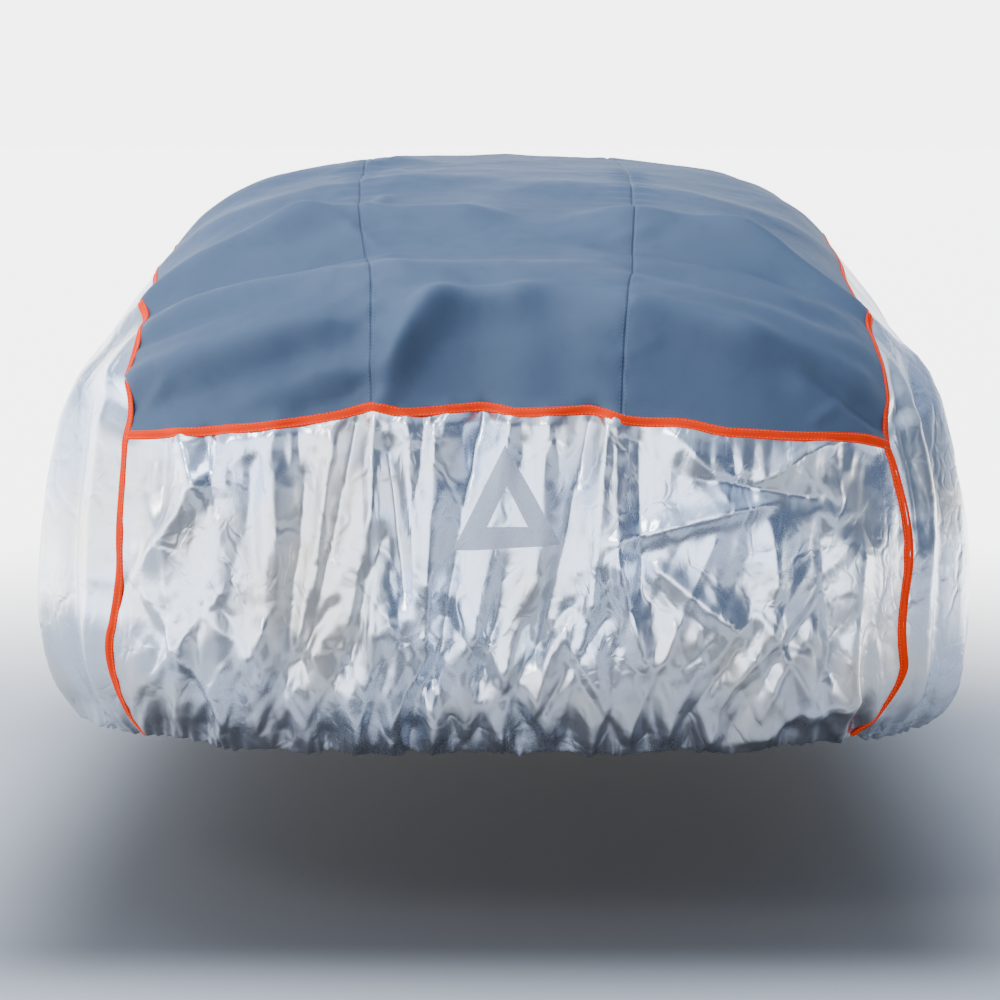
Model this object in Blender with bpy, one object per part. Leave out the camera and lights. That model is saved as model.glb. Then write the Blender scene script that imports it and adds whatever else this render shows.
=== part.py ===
"""Fitted car cover: a padded grey top in three widths, silver film end and side panels, orange tape.

Run with: blender --background --python part.py

Lengths are in metres, +Z is up, and +X is to the right of someone who faces the near end, whose
panel faces -Y. The origin is on the underside of the top, at the middle of the roof, where the
covered body carries it. Below, "height" is above the ground and "setback" is measured back from
the near end; place() turns both into the frame.

The cover is one draped surface. Its form is the smooth meeting of four faces (near end, far end,
top, sides), found along rays from a spine inside it, and folds are raised on that form from short
tables. Every cloth piece is then a layer of its own thickness over its share of the surface, and
each tape is a layer that lies over the cloths that it joins.
"""

import collections
import math

import bmesh
import bpy
import numpy as np
from mathutils import Vector, noise

# Overall sizes
LENGTH = 4.40  # near end to far end of the form
MOUNT_HEIGHT = 1.415  # ground to the underside of the top at the middle of the roof
MOUNT_SETBACK = 2.20  # near end to the origin

# Cloth and tape
FILM_THICKNESS = 0.002  # silver film with its fleece lining
HEM_THICKNESS = 0.0045  # film folded over the elastic
FOAM_THICKNESS = 0.0055  # padded top
FOAM_EDGE = 0.0032  # padded top where a seam or tape presses it flat
TAPE_HALF_WIDTH = 0.0085
TAPE_THICKNESS = 0.0012
PATCH_THICKNESS = 0.0008
SEAM_GAP = 0.0004  # between cloths that are sewn edge to edge
TAPE_GAP = 0.0003  # under each tape and under the patch

# Sewing grid: cells between the lines of stitching
CELLS_PER_WIDTH = 18  # across one width of the near end panel
COARSE = 2  # cells of the end panel for each cell of the padded top
PANEL_CELLS = 13  # up an end panel, its last row under the cross binding
CORNER_ROW = 17  # row at which the side seam turns from the end to the top
NEAR_FAN = (0.15, 0.28, 0.41, 0.55, 0.69, 0.84)  # rows over the deck edge, as shares of the turn
FAR_FAN = (0.35, 0.62, 0.76, 0.90)  # rows over the bonnet edge, as shares of the turn
FINE_ROWS = 17  # the fine cells reach up to this row
TOP_ROWS = ((0.55, 1.39, 8), (1.60, 3.78, 11))  # (first setback, last setback, rows)

# Spine: the rays of the form start here
NEAR_SPINE = (0.55, 0.72)  # setback, height
FAR_SPINE = (3.78, 0.52)
SPINE_SPREAD = 0.75  # how far out the rays start, as a share of their target's distance
RAY_LENGTH = 2.2
BISECTIONS = 34
STEERING_ROUNDS = 4
EVENING_ROUNDS = 60
SLOPE_STEP = 0.004
BLEND_LENGTH = 0.25  # over which the places across an end run into those across the top
SPINE_TO_CORNER = 0.58  # from the spine's end to the edge that the rows turn over

# Rounding where two faces of the form meet
DECK_ROUNDING = 0.10
CORNER_ROUNDING = ((0.34, 0.50), (0.55, 0.48), (0.9, 0.44), (1.3, 0.40))  # (height, rounding)
SHOULDER_ROUNDING = 0.17

TOP_CURVE = (  # (setback, height) down the middle
    (-0.2, 1.10), (0.00, 1.175), (0.12, 1.215), (0.38, 1.245), (0.62, 1.325), (0.85, 1.36),
    (1.20, 1.400), (1.55, 1.416), (2.05, 1.420), (2.45, 1.410), (2.80, 1.365), (3.38, 1.075),
    (3.60, 1.00), (3.95, 0.94), (4.20, 0.875), (4.40, 0.79), (4.60, 0.68),
)
CROWN_CURVE = ((0.0, 0.10), (0.3, 0.115), (0.7, 0.12), (1.2, 0.095), (2.6, 0.09), (3.4, 0.07),
               (4.4, 0.10))  # (setback, drop from the middle to CROWN_HALF_WIDTH)
CROWN_HALF_WIDTH = 0.68
CROWN_POWER = 3.0
TOP_LEAN = 0.004  # the right side of the top lies a little higher, in metres a metre

SidePoint = collections.namedtuple("SidePoint", "height left right")
SIDE_CURVE = (  # half widths at the middle of the length
    SidePoint(0.28, 0.835, 0.880), SidePoint(0.34, 0.852, 0.900), SidePoint(0.40, 0.876, 0.918),
    SidePoint(0.45, 0.900, 0.934), SidePoint(0.52, 0.916, 0.942), SidePoint(0.60, 0.924, 0.942),
    SidePoint(0.72, 0.916, 0.932), SidePoint(0.83, 0.894, 0.908), SidePoint(0.93, 0.866, 0.878),
    SidePoint(1.00, 0.842, 0.852), SidePoint(1.07, 0.802, 0.826), SidePoint(1.14, 0.764, 0.794),
    SidePoint(1.26, 0.722, 0.732), SidePoint(1.40, 0.690, 0.690), SidePoint(1.55, 0.660, 0.660),
)
PLAN_CURVE = ((0.0, 0.935), (0.5, 0.975), (1.0, 0.997), (1.5, 1.0), (3.1, 1.0), (3.8, 0.975),
              (4.4, 0.93))  # (setback, share of the half width)

NEAR_FACE = ((0.28, 0.20), (0.34, 0.13), (0.38, 0.085), (0.43, 0.045), (0.50, 0.012), (0.58, 0.0),
             (0.70, 0.002), (0.85, 0.016), (1.00, 0.040), (1.15, 0.075), (1.35, 0.13))
FAR_FACE = ((0.28, 0.24), (0.34, 0.17), (0.40, 0.10), (0.48, 0.03), (0.58, 0.0), (0.68, 0.015),
            (0.78, 0.06), (0.90, 0.16))  # (height, setback of the face from its end)
NEAR_PLAN_SETBACK = 0.055  # how far the near face falls back at CROWN_HALF_WIDTH
FAR_PLAN_SETBACK = 0.10
PLAN_POWER = 2.3

SeamPoint = collections.namedtuple("SeamPoint", "height left right")
NEAR_SIDE_SEAM = (  # half widths of the side seams up the near end
    SeamPoint(0.36, 0.649, 0.645), SeamPoint(0.382, 0.674, 0.667), SeamPoint(0.417, 0.689, 0.696),
    SeamPoint(0.462, 0.700, 0.727), SeamPoint(0.503, 0.707, 0.743), SeamPoint(0.555, 0.710, 0.735),
    SeamPoint(0.600, 0.698, 0.730), SeamPoint(0.640, 0.694, 0.732), SeamPoint(0.70, 0.685, 0.741),
    SeamPoint(0.765, 0.683, 0.738), SeamPoint(0.835, 0.680, 0.722), SeamPoint(0.890, 0.678, 0.708),
    SeamPoint(0.940, 0.676, 0.690), SeamPoint(1.000, 0.678, 0.685), SeamPoint(1.050, 0.677, 0.688),
    SeamPoint(1.090, 0.672, 0.704), SeamPoint(1.125, 0.670, 0.698),
)
TopSeam = collections.namedtuple("TopSeam", "setback left right")
TOP_SIDE_SEAM = (  # half widths of the side seams along the top
    TopSeam(0.16, 0.668, 0.698), TopSeam(0.35, 0.668, 0.690), TopSeam(0.65, 0.684, 0.690),
    TopSeam(1.20, 0.704, 0.706), TopSeam(2.00, 0.710, 0.710), TopSeam(2.70, 0.706, 0.706),
    TopSeam(3.40, 0.690, 0.690), TopSeam(4.10, 0.665, 0.665),
)
FAR_SIDE_SEAM = ((0.36, 0.62), (0.50, 0.68), (0.62, 0.68), (0.75, 0.665))  # (height, half width)
WIDTH_SEAMS = (  # (setback, left seam, right seam) between the widths of the padded top
    (0.0, -0.225, 0.214), (0.2, -0.232, 0.240), (0.6, -0.272, 0.260), (1.2, -0.297, 0.277),
    (4.4, -0.270, 0.250),
)

CROSS_SEAM = (  # (x, height) of the lower edge of the padded top at the near end
    (-0.68, 0.941), (-0.54, 0.953), (-0.43, 0.964), (-0.302, 0.984), (-0.228, 1.001),
    (-0.178, 0.991), (-0.107, 0.997), (-0.023, 1.006), (0.027, 0.991), (0.09, 0.993),
    (0.16, 0.999), (0.222, 0.978), (0.32, 0.973), (0.391, 0.957), (0.536, 0.946), (0.623, 0.938),
    (0.70, 0.917),
)
FAR_CROSS_HEIGHT = 0.690
HEM_TUCK = (0.23, 0.33)  # how far out the hem curves behind a corner, and over which length
HEM_CURVE = ((0.0, 0.372), (0.45, 0.352), (1.2, 0.335), (3.2, 0.330), (4.1, 0.345),
             (4.4, 0.355))  # (setback, height)

# Folds: a ridge (height above 0) or a trough (below 0) along the line from its head to its foot
Fold = collections.namedtuple("Fold", "head_q head_z foot_q foot_z half_width height")
END_FOLDS = (  # q is the distance round the cover from the middle of the near end
    # left width of the end panel
    Fold(-0.605, 0.93, -0.600, 0.60, 0.022, -0.012), Fold(-0.565, 0.95, -0.530, 0.86, 0.026, 0.016),
    Fold(-0.530, 0.86, -0.608, 0.75, 0.026, 0.017), Fold(-0.520, 0.95, -0.500, 0.84, 0.022, -0.014),
    Fold(-0.600, 0.76, -0.585, 0.56, 0.028, 0.012), Fold(-0.475, 0.93, -0.520, 0.60, 0.040, 0.013),
    Fold(-0.440, 0.88, -0.430, 0.66, 0.026, -0.010), Fold(-0.395, 0.96, -0.420, 0.56, 0.034, 0.014),
    Fold(-0.345, 0.86, -0.375, 0.55, 0.024, -0.012), Fold(-0.300, 0.93, -0.330, 0.58, 0.028, 0.012),
    Fold(-0.253, 0.97, -0.345, 0.55, 0.022, -0.017), Fold(-0.222, 0.96, -0.225, 0.62, 0.024, 0.018),
    Fold(-0.196, 0.92, -0.165, 0.68, 0.020, -0.019), Fold(-0.165, 0.98, -0.150, 0.68, 0.022, 0.015),
    Fold(-0.214, 0.76, -0.265, 0.55, 0.022, -0.018),
    # middle width
    Fold(-0.095, 0.99, -0.130, 0.60, 0.026, 0.012), Fold(-0.028, 1.00, -0.120, 0.51, 0.022, -0.022),
    Fold(0.020, 0.99, -0.045, 0.60, 0.030, 0.013), Fold(0.018, 0.75, -0.035, 0.51, 0.020, -0.015),
    Fold(0.085, 0.99, 0.070, 0.70, 0.030, 0.010), Fold(0.160, 0.98, 0.070, 0.58, 0.030, -0.024),
    Fold(0.185, 0.97, 0.160, 0.66, 0.018, 0.013), Fold(0.205, 0.98, 0.208, 0.70, 0.024, 0.015),
    Fold(0.210, 0.72, 0.254, 0.56, 0.022, 0.018), Fold(0.245, 0.93, 0.248, 0.68, 0.026, -0.013),
    # right width
    Fold(0.214, 0.77, 0.463, 0.83, 0.020, 0.010), Fold(0.330, 0.93, 0.380, 0.87, 0.032, 0.012),
    Fold(0.380, 0.87, 0.545, 0.84, 0.022, -0.010), Fold(0.477, 0.88, 0.571, 0.93, 0.020, 0.011),
    Fold(0.300, 0.70, 0.400, 0.62, 0.028, 0.012), Fold(0.480, 0.76, 0.500, 0.60, 0.030, 0.012),
    Fold(0.573, 0.76, 0.597, 0.53, 0.022, -0.014), Fold(0.643, 0.72, 0.630, 0.48, 0.026, 0.014),
    Fold(0.605, 0.46, 0.440, 0.40, 0.026, 0.012), Fold(0.530, 0.60, 0.400, 0.45, 0.024, -0.010),
    Fold(0.350, 0.60, 0.300, 0.45, 0.028, 0.010),
    # left corner and side
    Fold(-0.745, 1.00, -0.770, 0.50, 0.040, 0.014), Fold(-0.850, 0.95, -0.840, 0.45, 0.034, -0.014),
    Fold(-0.940, 1.00, -0.990, 0.45, 0.045, 0.016), Fold(-1.120, 0.98, -1.090, 0.50, 0.045, -0.014),
    Fold(-1.330, 0.95, -1.400, 0.45, 0.060, 0.014), Fold(-1.650, 1.00, -1.600, 0.50, 0.055, -0.013),
    # right corner and side
    Fold(0.760, 1.02, 0.770, 0.78, 0.026, -0.018), Fold(0.800, 0.95, 0.790, 0.45, 0.034, 0.016),
    Fold(0.870, 1.00, 0.860, 0.42, 0.030, -0.016), Fold(0.955, 1.02, 0.940, 0.45, 0.036, 0.017),
    Fold(1.080, 0.95, 1.060, 0.42, 0.040, -0.015), Fold(1.260, 0.98, 1.300, 0.50, 0.055, 0.014),
    Fold(1.520, 0.98, 1.480, 0.50, 0.050, -0.013), Fold(1.800, 0.95, 1.850, 0.50, 0.060, 0.013),
)
TopFold = collections.namedtuple("TopFold", "head_x head_s foot_x foot_s half_width height")
TOP_FOLDS = (  # s is the distance back from the near cross seam, along the middle of the top
    # the hanging lower face, with its hollow between two bulges
    TopFold(-0.060, 0.00, -0.020, 0.17, 0.090, -0.018), TopFold(0.100, 0.00, 0.110, 0.15, 0.060, -0.010),
    TopFold(-0.210, 0.02, -0.180, 0.11, 0.030, 0.020), TopFold(-0.180, 0.11, -0.120, 0.18, 0.034, 0.022),
    TopFold(-0.120, 0.18, 0.020, 0.215, 0.036, 0.018), TopFold(-0.235, 0.03, -0.330, 0.01, 0.026, -0.010),
    TopFold(-0.640, 0.06, -0.380, 0.10, 0.036, -0.011), TopFold(-0.640, 0.15, -0.330, 0.17, 0.034, 0.012),
    TopFold(-0.420, 0.07, -0.260, 0.08, 0.030, 0.008), TopFold(0.250, 0.20, 0.430, 0.17, 0.036, 0.016),
    TopFold(0.430, 0.17, 0.620, 0.13, 0.036, 0.014), TopFold(0.540, 0.09, 0.650, 0.02, 0.024, 0.010),
    TopFold(0.570, 0.12, 0.660, 0.06, 0.028, -0.012),
    # between the deck edge and the second arc
    TopFold(-0.560, 0.36, -0.240, 0.32, 0.055, 0.013), TopFold(-0.600, 0.28, -0.420, 0.27, 0.040, -0.012),
    TopFold(-0.100, 0.34, 0.180, 0.38, 0.060, 0.010), TopFold(0.260, 0.38, 0.560, 0.30, 0.055, -0.012),
    TopFold(-0.640, 0.60, -0.380, 0.70, 0.050, 0.020), TopFold(-0.380, 0.70, -0.080, 0.71, 0.050, 0.016),
    TopFold(-0.560, 0.50, -0.280, 0.54, 0.050, -0.016), TopFold(0.240, 0.70, 0.460, 0.66, 0.050, 0.018),
    TopFold(0.460, 0.66, 0.660, 0.52, 0.045, 0.016), TopFold(0.230, 0.56, 0.520, 0.52, 0.050, -0.012),
    # up to the roof edge, along the roof and down to the bonnet
    TopFold(-0.540, 0.95, -0.180, 1.05, 0.080, 0.012), TopFold(0.100, 1.02, 0.560, 0.96, 0.080, 0.004),
    TopFold(-0.620, 1.35, -0.250, 1.50, 0.080, 0.010), TopFold(-0.500, 2.60, 0.400, 2.66, 0.090, 0.010),
    TopFold(-0.600, 3.20, 0.000, 3.10, 0.070, -0.012), TopFold(0.050, 3.30, 0.600, 3.22, 0.060, -0.011),
    TopFold(-0.450, 3.55, 0.350, 3.62, 0.080, 0.010),
)
PUCKER_PITCH = 0.34  # slack that the seams of the padded top draw up
PUCKER_HEIGHT = 0.004

GATHER_PITCH = 0.074  # along the hem of an end panel
SIDE_GATHER_PITCH = 0.43  # along the hem of a side panel, where the elastic draws up less
GATHER_HEIGHT = 0.011
GATHER_REACH = 0.085  # how far up the gathers run
CRUMPLE_HEIGHT = 0.0045
CRUMPLE_SIZE = 0.11
EDGE_RUN = 0.05  # over which the folds of one cloth fade out past a cross seam
SIDE_RUN = (4, 5)  # cells over which a side panel's folds run into those at its end and top seams

# Reflective triangle on the end panel: x, height
PATCH_OUTER = ((0.009, 0.938), (-0.083, 0.751), (0.108, 0.762))
PATCH_INNER = ((0.012, 0.866), (-0.023, 0.794), (0.049, 0.794))
PATCH_CALM = 0.13  # radius in which the patch stiffens the film

Finish = collections.namedtuple("Finish", "colour metallic roughness")
FOAM = Finish((0.20, 0.27, 0.37), 0.0, 0.62)
FILM = Finish((0.72, 0.74, 0.78), 0.9, 0.34)
TAPE = Finish((1.0, 0.10, 0.0), 0.0, 0.55)
REFLECTIVE = Finish((0.38, 0.40, 0.45), 0.1, 0.5)


def clear_scene():
    """Removes whatever the scene holds."""
    for thing in list(bpy.data.objects):
        bpy.data.objects.remove(thing, do_unlink=True)


def curve_value(table, at, column=1, ease=0.05):
    """Value of a table at the given places, its corners eased over a short run to each side."""
    places = [row[0] for row in table]
    values = [row[column] for row in table]
    steps = np.linspace(-ease, ease, 7)
    return np.mean([np.interp(np.asarray(at) + step, places, values) for step in steps], axis=0)


def smooth_least(a, b, rounding):
    """The lesser of two depths, with their meeting rounded."""
    share = np.clip(0.5 + 0.5 * (b - a) / rounding, 0.0, 1.0)
    return b + (a - b) * share - rounding * share * (1.0 - share)


def form_depth(x, setback, height):
    """Depth of points inside the form: above 0 within it and below 0 outside."""
    out = np.abs(x) / CROWN_HALF_WIDTH
    near = setback - curve_value(NEAR_FACE, height) - NEAR_PLAN_SETBACK * out**PLAN_POWER
    far = LENGTH - curve_value(FAR_FACE, height) - FAR_PLAN_SETBACK * out**PLAN_POWER - setback
    crown = curve_value(CROWN_CURVE, setback, ease=0.15) * out**CROWN_POWER
    top = curve_value(TOP_CURVE, setback, ease=0.09) - crown + TOP_LEAN * x - height
    left, right = (curve_value(SIDE_CURVE, height, column=c, ease=0.04) for c in (1, 2))
    half = np.where(x < 0, left, right) * curve_value(PLAN_CURVE, setback, ease=0.2)
    ends = smooth_least(near, far, DECK_ROUNDING)
    rounding = curve_value(CORNER_ROUNDING, height)
    round_corner = smooth_least(ends, half - np.abs(x), rounding)
    flat_top = smooth_least(round_corner, top, DECK_ROUNDING)
    shoulder = smooth_least(half - np.abs(x), top, SHOULDER_ROUNDING)
    return np.minimum(flat_top, shoulder)


def on_form(x, setback, height):
    """Where the rays from the spine towards the given points leave the form."""
    x, setback, height = (np.asarray(v, dtype=float) for v in np.broadcast_arrays(x, setback, height))
    along = np.clip(setback, NEAR_SPINE[0], FAR_SPINE[0])
    share = (along - NEAR_SPINE[0]) / (FAR_SPINE[0] - NEAR_SPINE[0])
    start = np.stack([SPINE_SPREAD * x, along, NEAR_SPINE[1] + share * (FAR_SPINE[1] - NEAR_SPINE[1])])
    ray = np.stack([x, setback, height]) - start
    ray /= np.linalg.norm(ray, axis=0)
    inside = np.zeros_like(x)
    outside = np.full_like(x, RAY_LENGTH)
    for _ in range(BISECTIONS):
        middle = (inside + outside) / 2
        within = form_depth(*(start + ray * middle)) > 0
        inside = np.where(within, middle, inside)
        outside = np.where(within, outside, middle)
    return np.moveaxis(start + ray * inside, 0, -1)


def form_normal(points):
    """Outward normals of the form at points on it."""
    slopes = []
    for axis in range(3):
        step = np.zeros(3)
        step[axis] = SLOPE_STEP
        slopes.append(form_depth(*(points - step).T) - form_depth(*(points + step).T))
    normals = np.stack(slopes, axis=-1)
    return normals / np.linalg.norm(normals, axis=-1, keepdims=True)


def line_shares(line):
    """Distance of each point along a line, as a share of its length."""
    run = np.concatenate([[0.0], np.cumsum(np.linalg.norm(np.diff(line, axis=0), axis=1))])
    return run / run[-1]


def steered(x, setback, height, hold):
    """Points on the form that keep the wanted x (0), setback (1) or height (2) named in hold."""
    wanted = np.stack(np.broadcast_arrays(np.asarray(x, dtype=float), setback, height), axis=-1)
    aim = wanted.copy()
    for _ in range(STEERING_ROUNDS):
        found = on_form(*np.moveaxis(aim, -1, 0))
        for axis in hold:
            aim[..., axis] += wanted[..., axis] - found[..., axis]
    return on_form(*np.moveaxis(aim, -1, 0))


def fold_height(folds, across, along):
    """Sum of a table of folds at points given across and along the cloth."""
    total = np.zeros_like(across)
    for fold in folds:
        head = np.array(fold[0:2])
        run = np.array(fold[2:4]) - head
        length = np.linalg.norm(run)
        dx, dy = across - head[0], along - head[1]
        t = (dx * run[0] + dy * run[1]) / length**2
        away = (dx * run[1] - dy * run[0]) / length
        past = np.maximum(np.maximum(-t, t - 1.0), 0.0) * length
        fade = np.exp(-((past / (1.6 * fold.half_width)) ** 2))
        total += fold.height * fade * np.exp(-((away / fold.half_width) ** 2))
    return total


def gathers(q, rise, pitch=GATHER_PITCH):
    """The elastic's gathers at a distance round the cover and a rise above the hem."""
    drift = 1.1 * np.sin(0.54 * q / pitch + 0.4) + 0.7 * np.sin(1.27 * q / pitch + 2.0)
    wave = np.sin(2 * math.pi * q / pitch + drift)
    slower = np.sin(2 * math.pi * q / (2.3 * pitch) + 1.7 * drift)
    fade = np.exp(-((np.maximum(rise, 0.0) / GATHER_REACH) ** 1.3))
    return GATHER_HEIGHT * (0.75 * wave + 0.45 * slower) * fade


def crumple(points, size, seed):
    """Smooth uneven swells, between -1 and 1, the same on each run."""
    offset = Vector((seed * 3.7, seed * 1.9, seed * 5.3))
    stretch = Vector((1.0, 1.0, 0.45))
    values = [noise.noise(Vector(p) * stretch / size + offset) for p in points.reshape(-1, 3)]
    return np.array(values).reshape(points.shape[:-1])


class Strip:
    """The long middle strip as a grid: rows from the near hem to the far hem, columns across."""

    def __init__(self):
        self.columns = 3 * CELLS_PER_WIDTH + 2
        self.seam_columns = (1 + CELLS_PER_WIDTH, 1 + 2 * CELLS_PER_WIDTH)
        self.near_seam_row = PANEL_CELLS
        self.targets = self.row_targets()
        self.rows = len(self.targets) - 1
        self.far_seam_row = self.rows - PANEL_CELLS
        self.points = self.place_points()
        self.path = self.row_distance()

    def row_targets(self):
        """(kind, value) of each row: the rule by which its points are aimed."""
        up_panel = [("near", (k / (PANEL_CELLS - 1)) ** 1.12) for k in range(PANEL_CELLS)]
        near = up_panel + [("near_seam", 0.0), ("near_seam", TAPE_HALF_WIDTH)]
        near += [("near_fan", share) for share in NEAR_FAN]
        top = [("top", setback) for run in TOP_ROWS for setback in np.linspace(*run)]
        far = [("far_fan", share) for share in FAR_FAN]
        far += [("far_seam", TAPE_HALF_WIDTH), ("far_seam", 0.0)]
        far += [("far", (1 - k / (PANEL_CELLS - 1))) for k in range(PANEL_CELLS)]
        return near + top + far

    def across(self, left, seam_left, seam_right, right):
        """Places of all the columns between the side seams, evenly within each width."""
        inner = [left + TAPE_HALF_WIDTH, seam_left, seam_right, right - TAPE_HALF_WIDTH]
        places = [left]
        for start, end in zip(inner[:-1], inner[1:]):
            places += list(np.linspace(start, end, CELLS_PER_WIDTH + 1)[:-1])
        return np.array(places + [inner[-1], right])

    def place_points(self):
        """Aims each row's points and finds them on the form."""
        rows = []
        for kind, value in self.targets:
            rows.append(getattr(self, "row_" + kind)(value))
        return np.array(rows)

    def end_seams(self, height):
        """Side seams' half widths at a height on the near end."""
        left = curve_value(NEAR_SIDE_SEAM, height, column=1, ease=0.012)
        right = curve_value(NEAR_SIDE_SEAM, height, column=2, ease=0.012)
        return left, right

    def row_near(self, share):
        hem = HEM_CURVE[0][1]
        return self.near_row(lambda x, seam: hem + (seam - TAPE_HALF_WIDTH - hem) * share)

    def row_near_seam(self, above):
        return self.near_row(lambda x, seam: seam + above)

    def near_row(self, height_rule):
        """A row on the near end whose height follows the cross seam."""
        middle = float(height_rule(0.0, curve_value(CROSS_SEAM, 0.0, ease=0.01)))
        left, right = self.end_seams(middle)
        x = self.across(-left, WIDTH_SEAMS[0][1], WIDTH_SEAMS[0][2], right)
        height = height_rule(x, curve_value(CROSS_SEAM, x, ease=0.01))
        left, right = self.end_seams(height[0])[0], self.end_seams(height[-1])[1]
        x = self.across(-left, WIDTH_SEAMS[0][1], WIDTH_SEAMS[0][2], right)
        setback = curve_value(NEAR_FACE, height) + NEAR_PLAN_SETBACK * (np.abs(x) / CROWN_HALF_WIDTH) ** 2
        return steered(x, setback, height, hold=(0, 2))

    def row_near_fan(self, share):
        seam = self.row_near_seam(TAPE_HALF_WIDTH)
        start = np.arctan2(seam[:, 2] - NEAR_SPINE[1], NEAR_SPINE[0] - seam[:, 1])
        angle = start + (math.pi / 2 - start) * share
        setback = NEAR_SPINE[0] - SPINE_TO_CORNER * np.cos(angle)
        height = NEAR_SPINE[1] + SPINE_TO_CORNER * np.sin(angle)
        x = self.top_across(setback.mean(), seam[:, 0])
        return steered(x, setback, height, hold=(0,))

    def row_top(self, setback):
        x = self.top_across(setback)
        height = curve_value(TOP_CURVE, setback) - 0.09 * (np.abs(x) / CROWN_HALF_WIDTH) ** CROWN_POWER
        return steered(x, setback, height, hold=(0, 1))

    def row_far_fan(self, share):
        seam = self.row_far_seam(TAPE_HALF_WIDTH)
        end = np.arctan2(seam[:, 2] - FAR_SPINE[1], seam[:, 1] - FAR_SPINE[0])
        angle = math.pi / 2 + (end - math.pi / 2) * share
        setback = FAR_SPINE[0] + SPINE_TO_CORNER * np.cos(angle)
        height = FAR_SPINE[1] + SPINE_TO_CORNER * np.sin(angle)
        x = self.top_across(setback.mean(), seam[:, 0])
        return steered(x, setback, height, hold=(0,))

    def row_far_seam(self, above):
        return self.far_row(FAR_CROSS_HEIGHT + above)

    def row_far(self, share):
        hem = HEM_CURVE[-1][1]
        return self.far_row(hem + (FAR_CROSS_HEIGHT - TAPE_HALF_WIDTH - hem) * share)

    def far_row(self, height):
        half = float(curve_value(FAR_SIDE_SEAM, height))
        x = self.across(-half, WIDTH_SEAMS[-1][1], WIDTH_SEAMS[-1][2], half)
        setback = LENGTH - curve_value(FAR_FACE, height)
        setback = setback - FAR_PLAN_SETBACK * (np.abs(x) / CROWN_HALF_WIDTH) ** 2
        return steered(x, setback, height, hold=(0, 2))

    def top_across(self, setback, end_row=None):
        """Places across the top, which near an end run into those of the end's own row."""
        left = float(curve_value(TOP_SIDE_SEAM, setback, column=1))
        right = float(curve_value(TOP_SIDE_SEAM, setback, column=2))
        seams = [float(curve_value(WIDTH_SEAMS, setback, column=c)) for c in (1, 2)]
        places = self.across(-left, seams[0], seams[1], right)
        if end_row is None:
            return places
        share = np.clip(1.0 - min(setback, LENGTH - setback) / BLEND_LENGTH, 0.0, 1.0)
        return places + (end_row - places) * share

    def row_distance(self):
        """Distance of each row from the near cross seam, along the middle column."""
        middle = self.points[:, self.columns // 2]
        steps = np.linalg.norm(np.diff(middle, axis=0), axis=1)
        distance = np.concatenate([[0.0], np.cumsum(steps)])
        return distance - distance[self.near_seam_row]

    def fold_heights(self):
        """Height of the folds at each point of the strip."""
        x = self.points[..., 0]
        height = self.points[..., 2]
        s = np.broadcast_to(self.path[:, None], x.shape)
        on_panel = np.clip(-s / EDGE_RUN, 0.0, 1.0)
        on_far = np.clip((s - self.path[self.far_seam_row]) / EDGE_RUN, 0.0, 1.0)
        on_top = np.clip(0.5 + s / EDGE_RUN, 0.0, 1.0) * (1 - on_far)
        end = fold_height(END_FOLDS, x, height) * np.clip(0.6 - s / EDGE_RUN, 0.0, 1.0)
        top = fold_height(TOP_FOLDS, x, s) * on_top
        hem_rise = height - HEM_CURVE[0][1]
        far_rise = height - HEM_CURVE[-1][1]
        from_seam = np.minimum(x - x[:, :1], x[:, -1:] - x)
        hems = gathers(x, hem_rise) * on_panel + gathers(x + 9.0, far_rise) * on_far
        hems *= np.clip(from_seam / EDGE_RUN, 0.2, 1.0)
        swell = CRUMPLE_HEIGHT * crumple(self.points, CRUMPLE_SIZE, 1) * (on_panel + on_far)
        swell += 2.2 * CRUMPLE_HEIGHT * crumple(self.points, 3.2 * CRUMPLE_SIZE, 2) * on_top
        pucker = np.zeros_like(x)
        for column in self.seam_columns:
            away = x - x[:, column][:, None]
            wave = np.sin(2 * math.pi * s / PUCKER_PITCH + column)
            pucker += PUCKER_HEIGHT * wave * np.exp(-((away / 0.05) ** 2)) * on_top
        calm = self.patch_calm(x, height) * on_panel
        return (end + hems + swell + top + pucker) * (1 - 0.75 * calm)

    def patch_calm(self, x, height):
        """1 under the reflective triangle, easing to 0 around it."""
        centre = np.mean(PATCH_OUTER, axis=0)
        away = np.hypot(x - centre[0], height - centre[1] + 0.02)
        return np.clip(1.35 - away / PATCH_CALM, 0.0, 1.0)


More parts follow.
